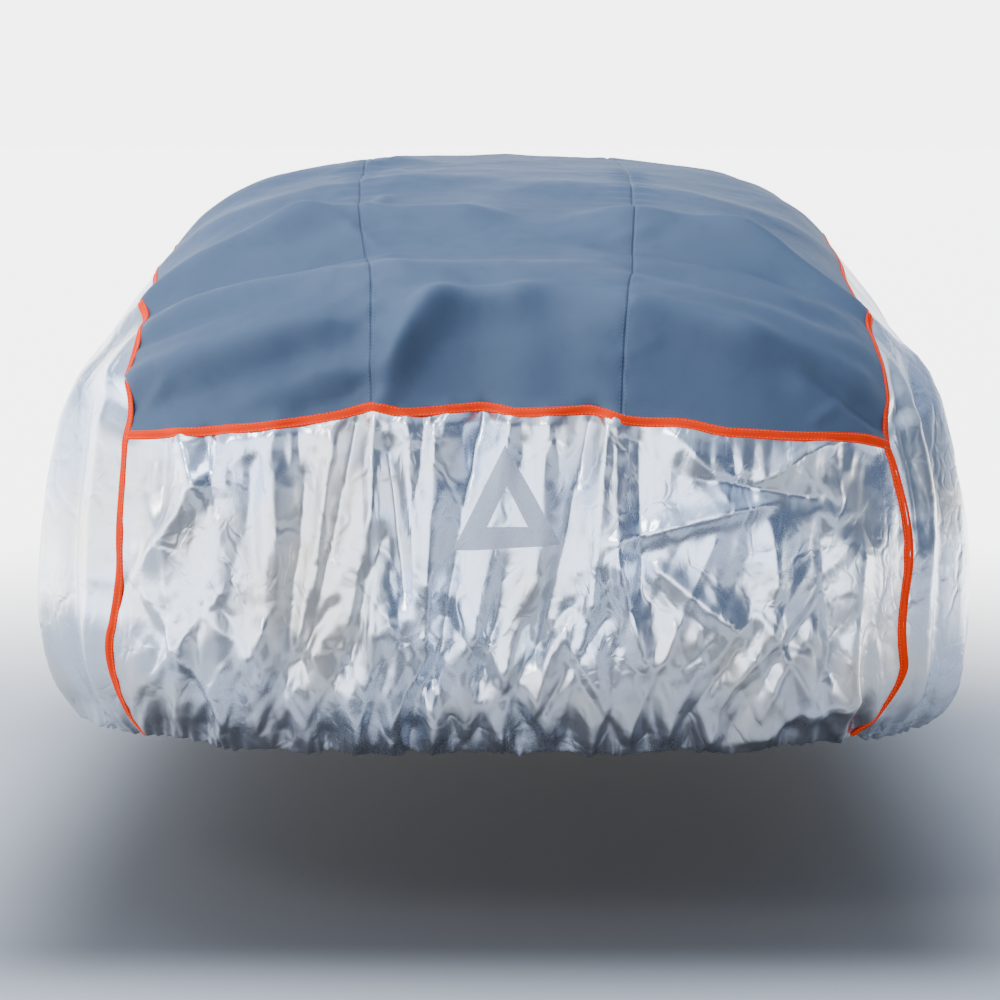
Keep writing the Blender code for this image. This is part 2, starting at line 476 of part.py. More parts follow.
class Side:
    """A side panel's grid: columns i from the near seam round the side, rows j from hem to top."""

    def __init__(self, strip, sign):
        self.sign = sign
        self.seam = strip.points[:, 0 if sign < 0 else strip.columns]
        self.rows = CORNER_ROW
        self.length = strip.rows - 2 * CORNER_ROW
        self.ring = self.inner_ring()
        self.points = self.place_points()
        self.around = self.distance_around()

    def inner_ring(self):
        """The line that the binding covers up to, beside the seam and square to it."""
        tangent = np.gradient(self.seam, axis=0)
        tangent /= np.linalg.norm(tangent, axis=1, keepdims=True)
        beside = self.sign * np.cross(form_normal(self.seam), tangent)
        beside[[0, -1], 2] = 0.0
        aim = self.seam - TAPE_HALF_WIDTH * beside / np.linalg.norm(beside, axis=1, keepdims=True)
        return on_form(*aim.T)

    def edges(self, line):
        """The near edge, the top edge and the far edge of the grid, from a line along the seam."""
        last = len(line) - 1
        return line[: self.rows + 1], line[self.rows : last - self.rows + 1], line[::-1][: self.rows + 1]

    def hem_line(self, share):
        """Points along the hem, from the near seam round the corner to the far seam."""
        near, far = self.ring[0], self.ring[-1]
        setback = near[1] + (far[1] - near[1]) * share
        height = curve_value(HEM_CURVE, setback, ease=0.1)
        ends = np.minimum(setback - near[1], far[1] - setback)
        x = near[0] * self.sign + HEM_TUCK[0] * (1 - np.exp(-ends / HEM_TUCK[1]))
        line = steered(self.sign * x, setback, height, hold=(1, 2))
        line[0], line[-1] = near, far
        return line

    def place_points(self):
        """Blends the four edges across the panel, evens the blend out and drops it onto the form."""
        near, top, far = self.edges(self.ring)
        along, up = line_shares(top), line_shares(near)
        low, high = self.hem_line(along)[:, None, :], top[:, None, :]
        i, j = along[:, None, None], up[None, :, None]
        ruled = (1 - j) * low + j * high + (1 - i) * near[None] + i * far[None]
        corners = (1 - i) * ((1 - j) * low[0] + j * high[0]) + i * ((1 - j) * low[-1] + j * high[-1])
        points = ruled - corners
        for _ in range(EVENING_ROUNDS):
            beside = points[:-2, 1:-1] + points[2:, 1:-1]
            points[1:-1, 1:-1] = (beside + points[1:-1, :-2] + points[1:-1, 2:]) / 4
        points[1:-1, 1:-1] = steered(*np.moveaxis(points[1:-1, 1:-1], -1, 0), hold=(2,))
        return points

    def distance_around(self):
        """Distance round the cover from the middle of the near end, signed as x is."""
        steps = np.linalg.norm(np.diff(self.points, axis=0), axis=-1)
        run = np.concatenate([np.zeros((1, self.rows + 1)), np.cumsum(steps, axis=0)])
        return self.sign * (np.abs(self.points[None, 0, :, 0]) + run)

    def fold_heights(self, seam_heights):
        """Height of the folds, which runs into that of the strip along the seams."""
        height = self.points[..., 2]
        rise = height - curve_value(HEM_CURVE, self.points[..., 1], ease=0.1)
        own = fold_height(END_FOLDS, self.around, height)
        own += gathers(self.around, rise, SIDE_GATHER_PITCH)
        own += 1.5 * CRUMPLE_HEIGHT * crumple(self.points, 2 * CRUMPLE_SIZE, 3)
        own += CRUMPLE_HEIGHT * crumple(self.points, CRUMPLE_SIZE, 4)
        near, top, far = self.edges(seam_heights)
        i = np.arange(self.length + 1)[:, None]
        j = np.arange(self.rows + 1)[None, :]
        own += (near - own[0])[None, :] * np.clip(1 - i / SIDE_RUN[0], 0, 1)
        own += (far - own[-1])[None, :] * np.clip(1 - (self.length - i) / SIDE_RUN[0], 0, 1)
        own += (top - own[:, -1])[:, None] * np.clip(1 - (self.rows - j) / SIDE_RUN[1], 0, 1)
        own[0], own[-1], own[:, -1] = near, far, top
        return own


class Surface:
    """All the points of the cover with their triangles, sorted into the pieces' shares."""

    def __init__(self):
        self.strip = Strip()
        self.sides = {sign: Side(self.strip, sign) for sign in (-1, 1)}
        self.shares = collections.defaultdict(list)
        self.number_points()
        self.share_strip()
        for sign in self.sides:
            self.share_side(sign)
        self.shares = {name: np.array(faces) for name, faces in self.shares.items()}
        self.raise_folds()

    def number_points(self):
        """Numbers the strip's points, then each side panel's own, and joins them at the seams."""
        rows, columns = self.strip.rows + 1, self.strip.columns + 1
        self.strip_ids = np.arange(rows * columns).reshape(rows, columns)
        points = [self.strip.points.reshape(-1, 3)]
        count = rows * columns
        self.side_ids = {}
        for sign, side in self.sides.items():
            shape = side.points.shape[:2]
            ids = np.arange(count, count + shape[0] * shape[1]).reshape(shape)
            count += ids.size
            self.side_ids[sign] = ids
            points.append(side.points.reshape(-1, 3))
        self.points = np.concatenate(points)

    def add(self, names, faces):
        for name in names:
            self.shares[name] += faces

    def share_strip(self):
        """Sorts the strip's cells into the end panels, the three widths and the tapes."""
        strip, ids = self.strip, self.strip_ids
        fine = list(range(strip.columns + 1))
        coarse = [0, *range(1, strip.columns, COARSE), strip.columns]
        for row in range(strip.rows):
            lower = fine if row <= FINE_ROWS else coarse
            upper = fine if row < FINE_ROWS else coarse
            for left, right in zip(coarse[:-1], coarse[1:]):
                below = [c for c in lower if left <= c <= right]
                above = [c for c in upper if left <= c <= right]
                for cell in self.cells(ids, row, below, above):
                    self.add(self.strip_pieces(row, left, right), cell)

    def cells(self, ids, row, below, above):
        """Triangles between two rows, as quads where they match and as a fan where they don't."""
        if len(below) == len(above):
            for a, b in zip(range(len(below) - 1), range(1, len(below))):
                p, q = ids[row, below[a]], ids[row, below[b]]
                r, s = ids[row + 1, above[b]], ids[row + 1, above[a]]
                slant = (row + below[a]) % 2 and 1 < below[a] < self.strip.columns - 2
                yield [(p, q, r), (p, r, s)] if slant else [(p, q, s), (q, r, s)]
            return
        left, right = ids[row + 1, above[0]], ids[row + 1, above[-1]]
        low = [ids[row, c] for c in below]
        middle = len(low) // 2
        fan = [(low[k], low[k + 1], left) for k in range(middle)]
        fan += [(low[middle], right, left)]
        fan += [(low[k], low[k + 1], right) for k in range(middle, len(low) - 1)]
        yield fan

    def strip_pieces(self, row, left, right):
        """Names of the cloth and of the tape that hold a cell of the strip."""
        strip = self.strip
        names = []
        if row < strip.near_seam_row:
            names.append("near_end_panel")
        elif row >= strip.far_seam_row:
            names.append("far_end_panel")
        else:
            widths = ("padded_top_left", "padded_top_centre", "padded_top_right")
            names.append(widths[sum(left >= column for column in strip.seam_columns)])
        if left == 0:
            names.append("left_side_binding")
        elif right == strip.columns:
            names.append("right_side_binding")
        elif row in (strip.near_seam_row - 1, strip.near_seam_row):
            names.append("near_cross_binding")
        elif row in (strip.far_seam_row - 1, strip.far_seam_row):
            names.append("far_cross_binding")
        return names

    def share_side(self, sign):
        """Sorts a side panel's cells into its cloth and its binding, which covers the seam's border."""
        side, ids = self.sides[sign], self.side_ids[sign]
        word = "left" if sign < 0 else "right"
        for i in range(side.length):
            for j in range(side.rows):
                a, b, c, d = ids[i, j], ids[i + 1, j], ids[i + 1, j + 1], ids[i, j + 1]
                cell = [(a, b, d), (b, c, d)] if i < side.length / 2 else [(a, b, c), (a, c, d)]
                self.add(["side_panel_" + word], [face[::sign] for face in cell])
        seam = self.strip_ids[:, 0 if sign < 0 else -1]
        ring = np.concatenate([ids[0], ids[1:-1, -1], ids[-1][::-1]])
        for k in range(len(seam) - 1):
            a, b, c, d = seam[k], ring[k], ring[k + 1], seam[k + 1]
            cell = [(a, b, c), (a, c, d)]
            self.add(["side_panel_" + word, word + "_side_binding"], [face[::sign] for face in cell])

    def all_faces(self):
        cloths = [name for name in self.shares if "binding" not in name]
        return np.concatenate([self.shares[name] for name in cloths])

    def raise_folds(self):
        """Moves every point out along the form's normal by the height of its folds."""
        heights = np.zeros(len(self.points))
        strip_heights = self.strip.fold_heights()
        for sign, side in self.sides.items():
            edge = strip_heights[:, 0 if sign < 0 else -1]
            heights[self.side_ids[sign]] = side.fold_heights(edge)
        heights[self.strip_ids] = strip_heights
        faces = self.all_faces()
        self.points += heights[:, None] * vertex_normals(self.points, faces)
        self.normals = vertex_normals(self.points, faces)


def vertex_normals(points, faces):
    """Area-weighted normals of the points that the faces use."""
    corners = points[faces]
    cross = np.cross(corners[:, 1] - corners[:, 0], corners[:, 2] - corners[:, 0])
    normals = np.zeros_like(points)
    for corner in range(3):
        np.add.at(normals, faces[:, corner], cross)
    length = np.linalg.norm(normals, axis=1, keepdims=True)
    return normals / np.where(length > 0, length, 1.0)


def boundary_edges(faces):
    """Directed edges that only one face uses, in the order of that face."""
    count = collections.Counter()
    for a, b, c in faces.tolist():
        count.update(((a, b), (b, c), (c, a)))
    return [edge for edge in count if (edge[1], edge[0]) not in count]


def draw_in(points, normals, edges, distance):
    """Moves boundary points into their piece, square to the edges that meet there."""
    inward = collections.defaultdict(list)
    for a, b in edges:
        for point in (a, b):
            side = np.cross(normals[point], points[b] - points[a])
            inward[point].append(side / np.linalg.norm(side))
    moved = points.copy()
    for point, ways in inward.items():
        way = np.sum(ways, axis=0)
        moved[point] += distance * way / max(np.dot(way, ways[0]), 0.3)
    return moved


def place(points):
    """Turns x, setback and height into the frame of the part."""
    return points - np.array([0.0, MOUNT_SETBACK, MOUNT_HEIGHT])


def add_object(name, points, faces, finish):
    """Makes one closed mesh object with its own material."""
    mesh = bpy.data.meshes.new(name)
    mesh.from_pydata([tuple(p) for p in points], [], [tuple(int(v) for v in f) for f in faces])
    mesh.validate()
    mesh.shade_smooth()
    mesh.set_sharp_from_angle(angle=math.radians(50))
    material = bpy.data.materials.new(name)
    material.use_nodes = True
    shader = material.node_tree.nodes["Principled BSDF"]
    shader.inputs["Base Color"].default_value = (*finish.colour, 1.0)
    shader.inputs["Metallic"].default_value = finish.metallic
    shader.inputs["Roughness"].default_value = finish.roughness
    mesh.materials.append(material)
    thing = bpy.data.objects.new(name, mesh)
    bpy.context.scene.collection.objects.link(thing)
    return thing


def close_layer(points, directions, faces, lower, upper):
    """A solid between two heights over the same faces, with walls round its boundary."""
    used = np.unique(faces)
    new = np.full(len(points), -1)
    new[used] = np.arange(len(used))
    base, away = points[used], directions[used]
    low, high = np.broadcast_to(lower, len(points))[used], np.broadcast_to(upper, len(points))[used]
    solid = np.concatenate([base + away * low[:, None], base + away * high[:, None]])
    count = len(used)
    top = new[faces] + count
    bottom = new[faces][:, ::-1]
    walls = []
    for a, b in boundary_edges(faces):
        rising = a < b
        a, b = new[a], new[b]
        if rising:
            walls += [(a, b, b + count), (a, b + count, a + count)]
        else:
            walls += [(a, b, a + count), (b, b + count, a + count)]
    return solid, np.concatenate([top, bottom, np.array(walls)])


def cloth_heights(surface, name, finish):
    """Thickness of a cloth at each point of the surface, thinner or thicker at its edge."""
    faces = surface.shares[name]
    heights = np.full(len(surface.points), FOAM_THICKNESS if finish is FOAM else FILM_THICKNESS)
    if finish is FOAM:
        for edge in boundary_edges(faces):
            heights[list(edge)] = FOAM_EDGE
        return heights
    for ids in (surface.strip_ids[0], surface.strip_ids[-1]):
        heights[ids] = HEM_THICKNESS
    for ids in surface.side_ids.values():
        heights[ids[:, 0]] = HEM_THICKNESS
    return heights


def add_cloth(surface, name, finish, reach):
    """Adds one cloth, and notes how far out it reaches at each of its points."""
    faces = surface.shares[name]
    edges = boundary_edges(faces)
    heights = cloth_heights(surface, name, finish)
    points = draw_in(surface.points, surface.normals, edges, SEAM_GAP / 2)
    solid, closed = close_layer(points, surface.normals, faces, 0.0, heights)
    used = np.unique(faces)
    reach[used] = np.maximum(reach[used], heights[used])
    return add_object(name, place(solid), closed, finish)


def add_tape(surface, name, reach):
    """Adds a tape over the cloths that it joins."""
    faces = surface.shares[name]
    points = draw_in(surface.points, surface.normals, boundary_edges(faces), SEAM_GAP / 2)
    lower = reach + TAPE_GAP
    solid, closed = close_layer(points, surface.normals, faces, lower, lower + TAPE_THICKNESS)
    return add_object(name, place(solid), closed, TAPE)


def inside_triangle(point, corners):
    """Whether a point of the end's face lies within a triangle given by its corners."""
    turns = []
    for (ax, az), (bx, bz) in zip(corners, (*corners[1:], corners[0])):
        turns.append((bx - ax) * (point[2] - az) - (bz - az) * (point[0] - ax))
    return all(turn > 0 for turn in turns) or all(turn < 0 for turn in turns)


def cut_by_triangle(mesh, corners, keep_inside):
    """Cuts a mesh along the sides of a triangle and keeps what lies inside it or outside it."""
    centre = np.mean(corners, axis=0)
    for (ax, az), (bx, bz) in zip(corners, (*corners[1:], corners[0])):
        normal = Vector((bz - az, 0.0, ax - bx))
        if normal.dot(Vector((centre[0] - ax, 0.0, centre[1] - az))) > 0:
            normal = -normal
        everything = mesh.verts[:] + mesh.edges[:] + mesh.faces[:]
        bmesh.ops.bisect_plane(mesh, geom=everything, dist=1e-6, plane_co=(ax, 0.0, az),
                               plane_no=normal, clear_outer=keep_inside)
    if not keep_inside:
        hole = [f for f in mesh.faces if inside_triangle(f.calc_center_median(), corners)]
        bmesh.ops.delete(mesh, geom=hole, context="FACES")


def add_patch(surface):
    """Cuts the reflective triangle from the film's own facets and lays it just above them."""
    top = surface.points + surface.normals * FILM_THICKNESS
    faces = surface.shares["near_end_panel"]
    centre = np.mean(PATCH_OUTER, axis=0)
    middle = top[faces].mean(axis=1)
    close = np.hypot(middle[:, 0] - centre[0], middle[:, 2] - centre[1]) < 0.2
    mesh = bmesh.new()
    verts = {}
    for face in faces[close]:
        for v in face:
            if v not in verts:
                verts[v] = mesh.verts.new(top[v])
        mesh.faces.new([verts[v] for v in face])
    cut_by_triangle(mesh, PATCH_OUTER, keep_inside=True)
    cut_by_triangle(mesh, PATCH_INNER, keep_inside=False)
    bmesh.ops.triangulate(mesh, faces=mesh.faces[:])
    mesh.verts.index_update()
    points = np.array([v.co[:] for v in mesh.verts])
    pieces = np.array([[v.index for v in f.verts] for f in mesh.faces])
    mesh.free()
    outward = np.broadcast_to(np.array([0.0, -1.0, 0.0]), points.shape)
    lower = 1.3 * TAPE_GAP
    solid, closed = close_layer(points, outward, pieces, lower, lower + PATCH_THICKNESS)
    return add_object("reflective_triangle", place(solid), closed, REFLECTIVE)


def main():
    clear_scene()
    surface = Surface()
    reach = np.zeros(len(surface.points))
    for name in ("padded_top_left", "padded_top_centre", "padded_top_right"):
        add_cloth(surface, name, FOAM, reach)
    for name in ("near_end_panel", "far_end_panel", "side_panel_left", "side_panel_right"):
        add_cloth(surface, name, FILM, reach)
    for name in ("near_cross_binding", "far_cross_binding", "left_side_binding", "right_side_binding"):
        add_tape(surface, name, reach)
    add_patch(surface)


main()
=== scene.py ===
"""Dresses the fitted car cover: silver ends and sides, padded top, tape, stitches and patch.

Lengths are in metres in the frame of the CAD part: +Z up, the near end faces -Y, and the origin is
under the middle of the top. Inside the form classes a place is (x, setback, height): setback runs
back from the near end and height is above the ground; ``to_frame`` turns both into the frame.
"""

from __future__ import annotations

import logging
import math
from collections.abc import Sequence
from dataclasses import dataclass, field
from enum import Enum

import bmesh
import bpy
import numpy as np
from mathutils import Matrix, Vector, noise
from mathutils.bvhtree import BVHTree
from mathutils.geometry import delaunay_2d_cdt


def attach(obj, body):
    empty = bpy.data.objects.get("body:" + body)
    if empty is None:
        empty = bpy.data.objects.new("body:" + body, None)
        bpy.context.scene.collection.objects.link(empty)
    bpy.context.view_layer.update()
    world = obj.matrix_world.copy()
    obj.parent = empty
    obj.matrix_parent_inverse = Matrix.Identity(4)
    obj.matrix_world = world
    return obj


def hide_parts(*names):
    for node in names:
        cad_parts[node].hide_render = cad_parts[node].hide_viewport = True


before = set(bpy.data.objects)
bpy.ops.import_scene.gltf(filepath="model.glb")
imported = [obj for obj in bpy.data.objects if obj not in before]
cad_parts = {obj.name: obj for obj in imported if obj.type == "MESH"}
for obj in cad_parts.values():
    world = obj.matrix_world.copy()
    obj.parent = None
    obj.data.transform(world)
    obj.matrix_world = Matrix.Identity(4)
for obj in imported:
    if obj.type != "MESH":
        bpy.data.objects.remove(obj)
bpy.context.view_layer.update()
LOG = logging.getLogger("car_cover")

Array = np.ndarray
Material = bpy.types.Material
Piece = bpy.types.Object
Pair = tuple[float, float]
MOUNT_HEIGHT = 1.415  # ground to the frame's origin
MOUNT_SETBACK = 2.2  # near end to the frame's origin
LENGTH = 4.4


# ---- Form of the draped cover ----


@dataclass(frozen=True)
class EasedTable:
    """Values against a place, with the corners between the rows eased."""

    rows: tuple[tuple[float, ...], ...]
    ease: float = 0.05

    def at(self, place: Array | float, column: int = 1) -> Array:
        """Reads the table.

        Args:
            place: Where to read it.
            column: Which value of each row to read.

        Returns:
            The eased values.
        """
        places = [row[0] for row in self.rows]
        values = [row[column] for row in self.rows]
        steps = np.linspace(-self.ease, self.ease, 7)
        spread = [np.interp(np.asarray(place) + step, places, values) for step in steps]
        return np.mean(spread, axis=0)


def smooth_least(a: Array, b: Array, rounding: Array | float) -> Array:
    """Returns the lesser of two depths, with their meeting rounded."""
    share = np.clip(0.5 + 0.5 * (b - a) / rounding, 0.0, 1.0)
    return b + (a - b) * share - rounding * share * (1.0 - share)


def placed(name: str, data: bpy.types.ID) -> Piece:
    """Makes an object of its data and links it to the scene.

    Args:
        name: The object's name.
        data: Its mesh, lamp or camera.

    Returns:
        The object.
    """
    made = bpy.data.objects.new(name, data)
    bpy.context.scene.collection.objects.link(made)
    return made


def to_frame(points: Array) -> Array:
    """Turns x, setback and height into the frame of the part."""
    return points - np.array([0.0, MOUNT_SETBACK, MOUNT_HEIGHT])


@dataclass(frozen=True)
class DrapedForm:
    """The smooth body of the cover before its folds: ends, top and sides, rounded off."""

    top: EasedTable = EasedTable((
        (-0.2, 1.1), (0.0, 1.175), (0.12, 1.215), (0.38, 1.245), (0.62, 1.325), (0.85, 1.36),
        (1.2, 1.4), (1.55, 1.416), (2.05, 1.42), (2.45, 1.41), (2.8, 1.365), (3.38, 1.075),
        (3.6, 1.0), (3.95, 0.94), (4.2, 0.875), (4.4, 0.79), (4.6, 0.68),
    ), 0.09)
    crown: EasedTable = EasedTable((
        (0.0, 0.1), (0.3, 0.115), (0.7, 0.12), (1.2, 0.095), (2.6, 0.09), (3.4, 0.07), (4.4, 0.1),
    ), 0.15)
    side: EasedTable = EasedTable((
        (0.28, 0.835, 0.88), (0.34, 0.852, 0.9), (0.4, 0.876, 0.918), (0.45, 0.9, 0.934),
        (0.52, 0.916, 0.942), (0.6, 0.924, 0.942), (0.72, 0.916, 0.932), (0.83, 0.894, 0.908),
        (0.93, 0.866, 0.878), (1.0, 0.842, 0.852), (1.07, 0.802, 0.826), (1.14, 0.764, 0.794),
        (1.26, 0.722, 0.732), (1.4, 0.69, 0.69), (1.55, 0.66, 0.66),
    ), 0.04)
    plan: EasedTable = EasedTable((
        (0.0, 0.935), (0.5, 0.975), (1.0, 0.997), (1.5, 1.0), (3.1, 1.0), (3.8, 0.975), (4.4, 0.93),
    ), 0.2)
    near_face: EasedTable = EasedTable((
        (0.28, 0.2), (0.34, 0.13), (0.38, 0.085), (0.43, 0.045), (0.5, 0.012), (0.58, 0.0),
        (0.7, 0.002), (0.85, 0.016), (1.0, 0.04), (1.15, 0.075), (1.35, 0.13),
    ))
    far_face: EasedTable = EasedTable((
        (0.28, 0.24), (0.34, 0.17), (0.4, 0.1), (0.48, 0.03), (0.58, 0.0), (0.68, 0.015),
        (0.78, 0.06), (0.9, 0.16),
    ))
    corner: EasedTable = EasedTable(((0.34, 0.5), (0.55, 0.48), (0.9, 0.44), (1.3, 0.4)))
    crown_half_width: float = 0.68
    crown_power: float = 3.0
    lean: float = 0.004
    near_bow: float = 0.055
    far_bow: float = 0.1
    bow_power: float = 2.3
    deck_rounding: float = 0.1
    shoulder_rounding: float = 0.17
    near_spine: Pair = (0.55, 0.72)
    far_spine: Pair = (3.78, 0.52)
    spine_spread: float = 0.75
    ray_length: float = 2.2
    bisections: int = 30
    steering_rounds: int = 4
    slope_step: float = 0.004

    def depth(self, x: Array, setback: Array, height: Array) -> Array:
        """Measures how deep points lie inside the form.

        Args:
            x: Distance to the right of the middle.
            setback: Distance back from the near end.
            height: Height above the ground.

        Returns:
            Depths, above 0 within the form and below 0 outside it.
        """
        out = np.abs(x) / self.crown_half_width
        bow = out**self.bow_power
        near = setback - self.near_face.at(height) - self.near_bow * bow
        far = LENGTH - self.far_face.at(height) - self.far_bow * bow - setback
        crown = self.crown.at(setback) * out**self.crown_power
        top = self.top.at(setback) - crown + self.lean * x - height
        half = np.where(x < 0, self.side.at(height), self.side.at(height, 2))
        half = half * self.plan.at(setback)
        ends = smooth_least(near, far, self.deck_rounding)
        cornered = smooth_least(ends, half - np.abs(x), self.corner.at(height))
        decked = smooth_least(cornered, top, self.deck_rounding)
        return np.minimum(decked, smooth_least(half - np.abs(x), top, self.shoulder_rounding))

    def on_skin(self, x: Array, setback: Array, height: Array) -> Array:
        """Finds where rays from the spine towards the given places leave the form.

        Args:
            x: Distance to the right of the middle.
            setback: Distance back from the near end.
            height: Height above the ground.

        Returns:
            Points on the form, with their three values last.
        """
        x, setback, height = (np.asarray(v, float) for v in np.broadcast_arrays(x, setback, height))
        (near_y, near_z), (far_y, far_z) = self.near_spine, self.far_spine
        along = np.clip(setback, near_y, far_y)
        rise = near_z + (along - near_y) / (far_y - near_y) * (far_z - near_z)
        start = np.stack([self.spine_spread * x, along, rise])
        ray = np.stack([x, setback, height]) - start
        ray /= np.linalg.norm(ray, axis=0)
        inside, outside = np.zeros_like(x), np.full_like(x, self.ray_length)
        for _ in range(self.bisections):
            middle = (inside + outside) / 2
            within = self.depth(*(start + ray * middle)) > 0
            inside = np.where(within, middle, inside)
            outside = np.where(within, outside, middle)
        return np.moveaxis(start + ray * inside, 0, -1)

    def steered(self, wanted: Array, hold: Sequence[int]) -> Array:
        """Finds points on the form that keep chosen values of the wanted places.

        Args:
            wanted: Places with x, setback and height last.
            hold: Which of the three values to keep.

        Returns:
            Points on the form.
        """
        aim = wanted.copy()
        for _ in range(self.steering_rounds):
            found = self.on_skin(*np.moveaxis(aim, -1, 0))
            for axis in hold:
                aim[..., axis] += wanted[..., axis] - found[..., axis]
        return self.on_skin(*np.moveaxis(aim, -1, 0))

    def normals(self, points: Array) -> Array:
        """Measures the outward normals of the form.

        Args:
            points: Points on the form.

        Returns:
            Unit normals.
        """
        slopes = []
        for axis in range(3):
            step = np.zeros(3)
            step[axis] = self.slope_step
            before = self.depth(*np.moveaxis(points - step, -1, 0))
            slopes.append(before - self.depth(*np.moveaxis(points + step, -1, 0)))
        return unit(np.stack(slopes, axis=-1))


def unit(vectors: Array) -> Array:
    """Returns vectors at length 1."""
    length = np.linalg.norm(vectors, axis=-1, keepdims=True)
    return vectors / np.where(length > 0, length, 1.0)


def spline_weights(count: int, places: Array) -> Array:
    """Weights of a smooth curve through evenly numbered control points.

    Args:
        count: How many control points there are.
        places: Where to read the curve, as fractional point numbers.

    Returns:
        A matrix that turns control values into values at the places.
    """
    weights = np.zeros((len(places), count + 2))
    start = np.clip(np.floor(places).astype(int), 0, count - 2)
    t = places - start
    basis = np.stack([
        -0.5 * t + t**2 - 0.5 * t**3,
        1 - 2.5 * t**2 + 1.5 * t**3,
        0.5 * t + 2 * t**2 - 1.5 * t**3,
        -0.5 * t**2 + 0.5 * t**3,
    ])
    for k in range(4):
        weights[np.arange(len(places)), start + k] += basis[k]
    inner = weights[:, 1:-1].copy()
    inner[:, 0] += 2 * weights[:, 0]
    inner[:, 1] -= weights[:, 0]
    inner[:, -1] += 2 * weights[:, -1]
    inner[:, -2] -= weights[:, -1]
    return inner


def finer(steps: Sequence[tuple[int, int]], start: int = 0) -> Array:
    """Numbers the fine places along a run of control cells.

    Args:
        steps: Pairs of a number of control cells and the fine cells in each.
        start: The control point that the run starts on.

    Returns:
        Fractional control point numbers, both ends among them.
    """
    places = [float(start)]
    for cells, parts in steps:
        for _ in range(cells * parts):
            places.append(places[-1] + 1 / parts)
    return np.round(np.array(places), 9)


def run_along(line: Array) -> Array:
    """Returns the distance of each point along a line."""
    return np.concatenate([[0.0], np.cumsum(np.linalg.norm(np.diff(line, axis=0), axis=1))])


def line_shares(line: Array) -> Array:
    """Returns the distance of each point along a line, as a share of its length."""
    run = run_along(line)
    return run / run[-1]


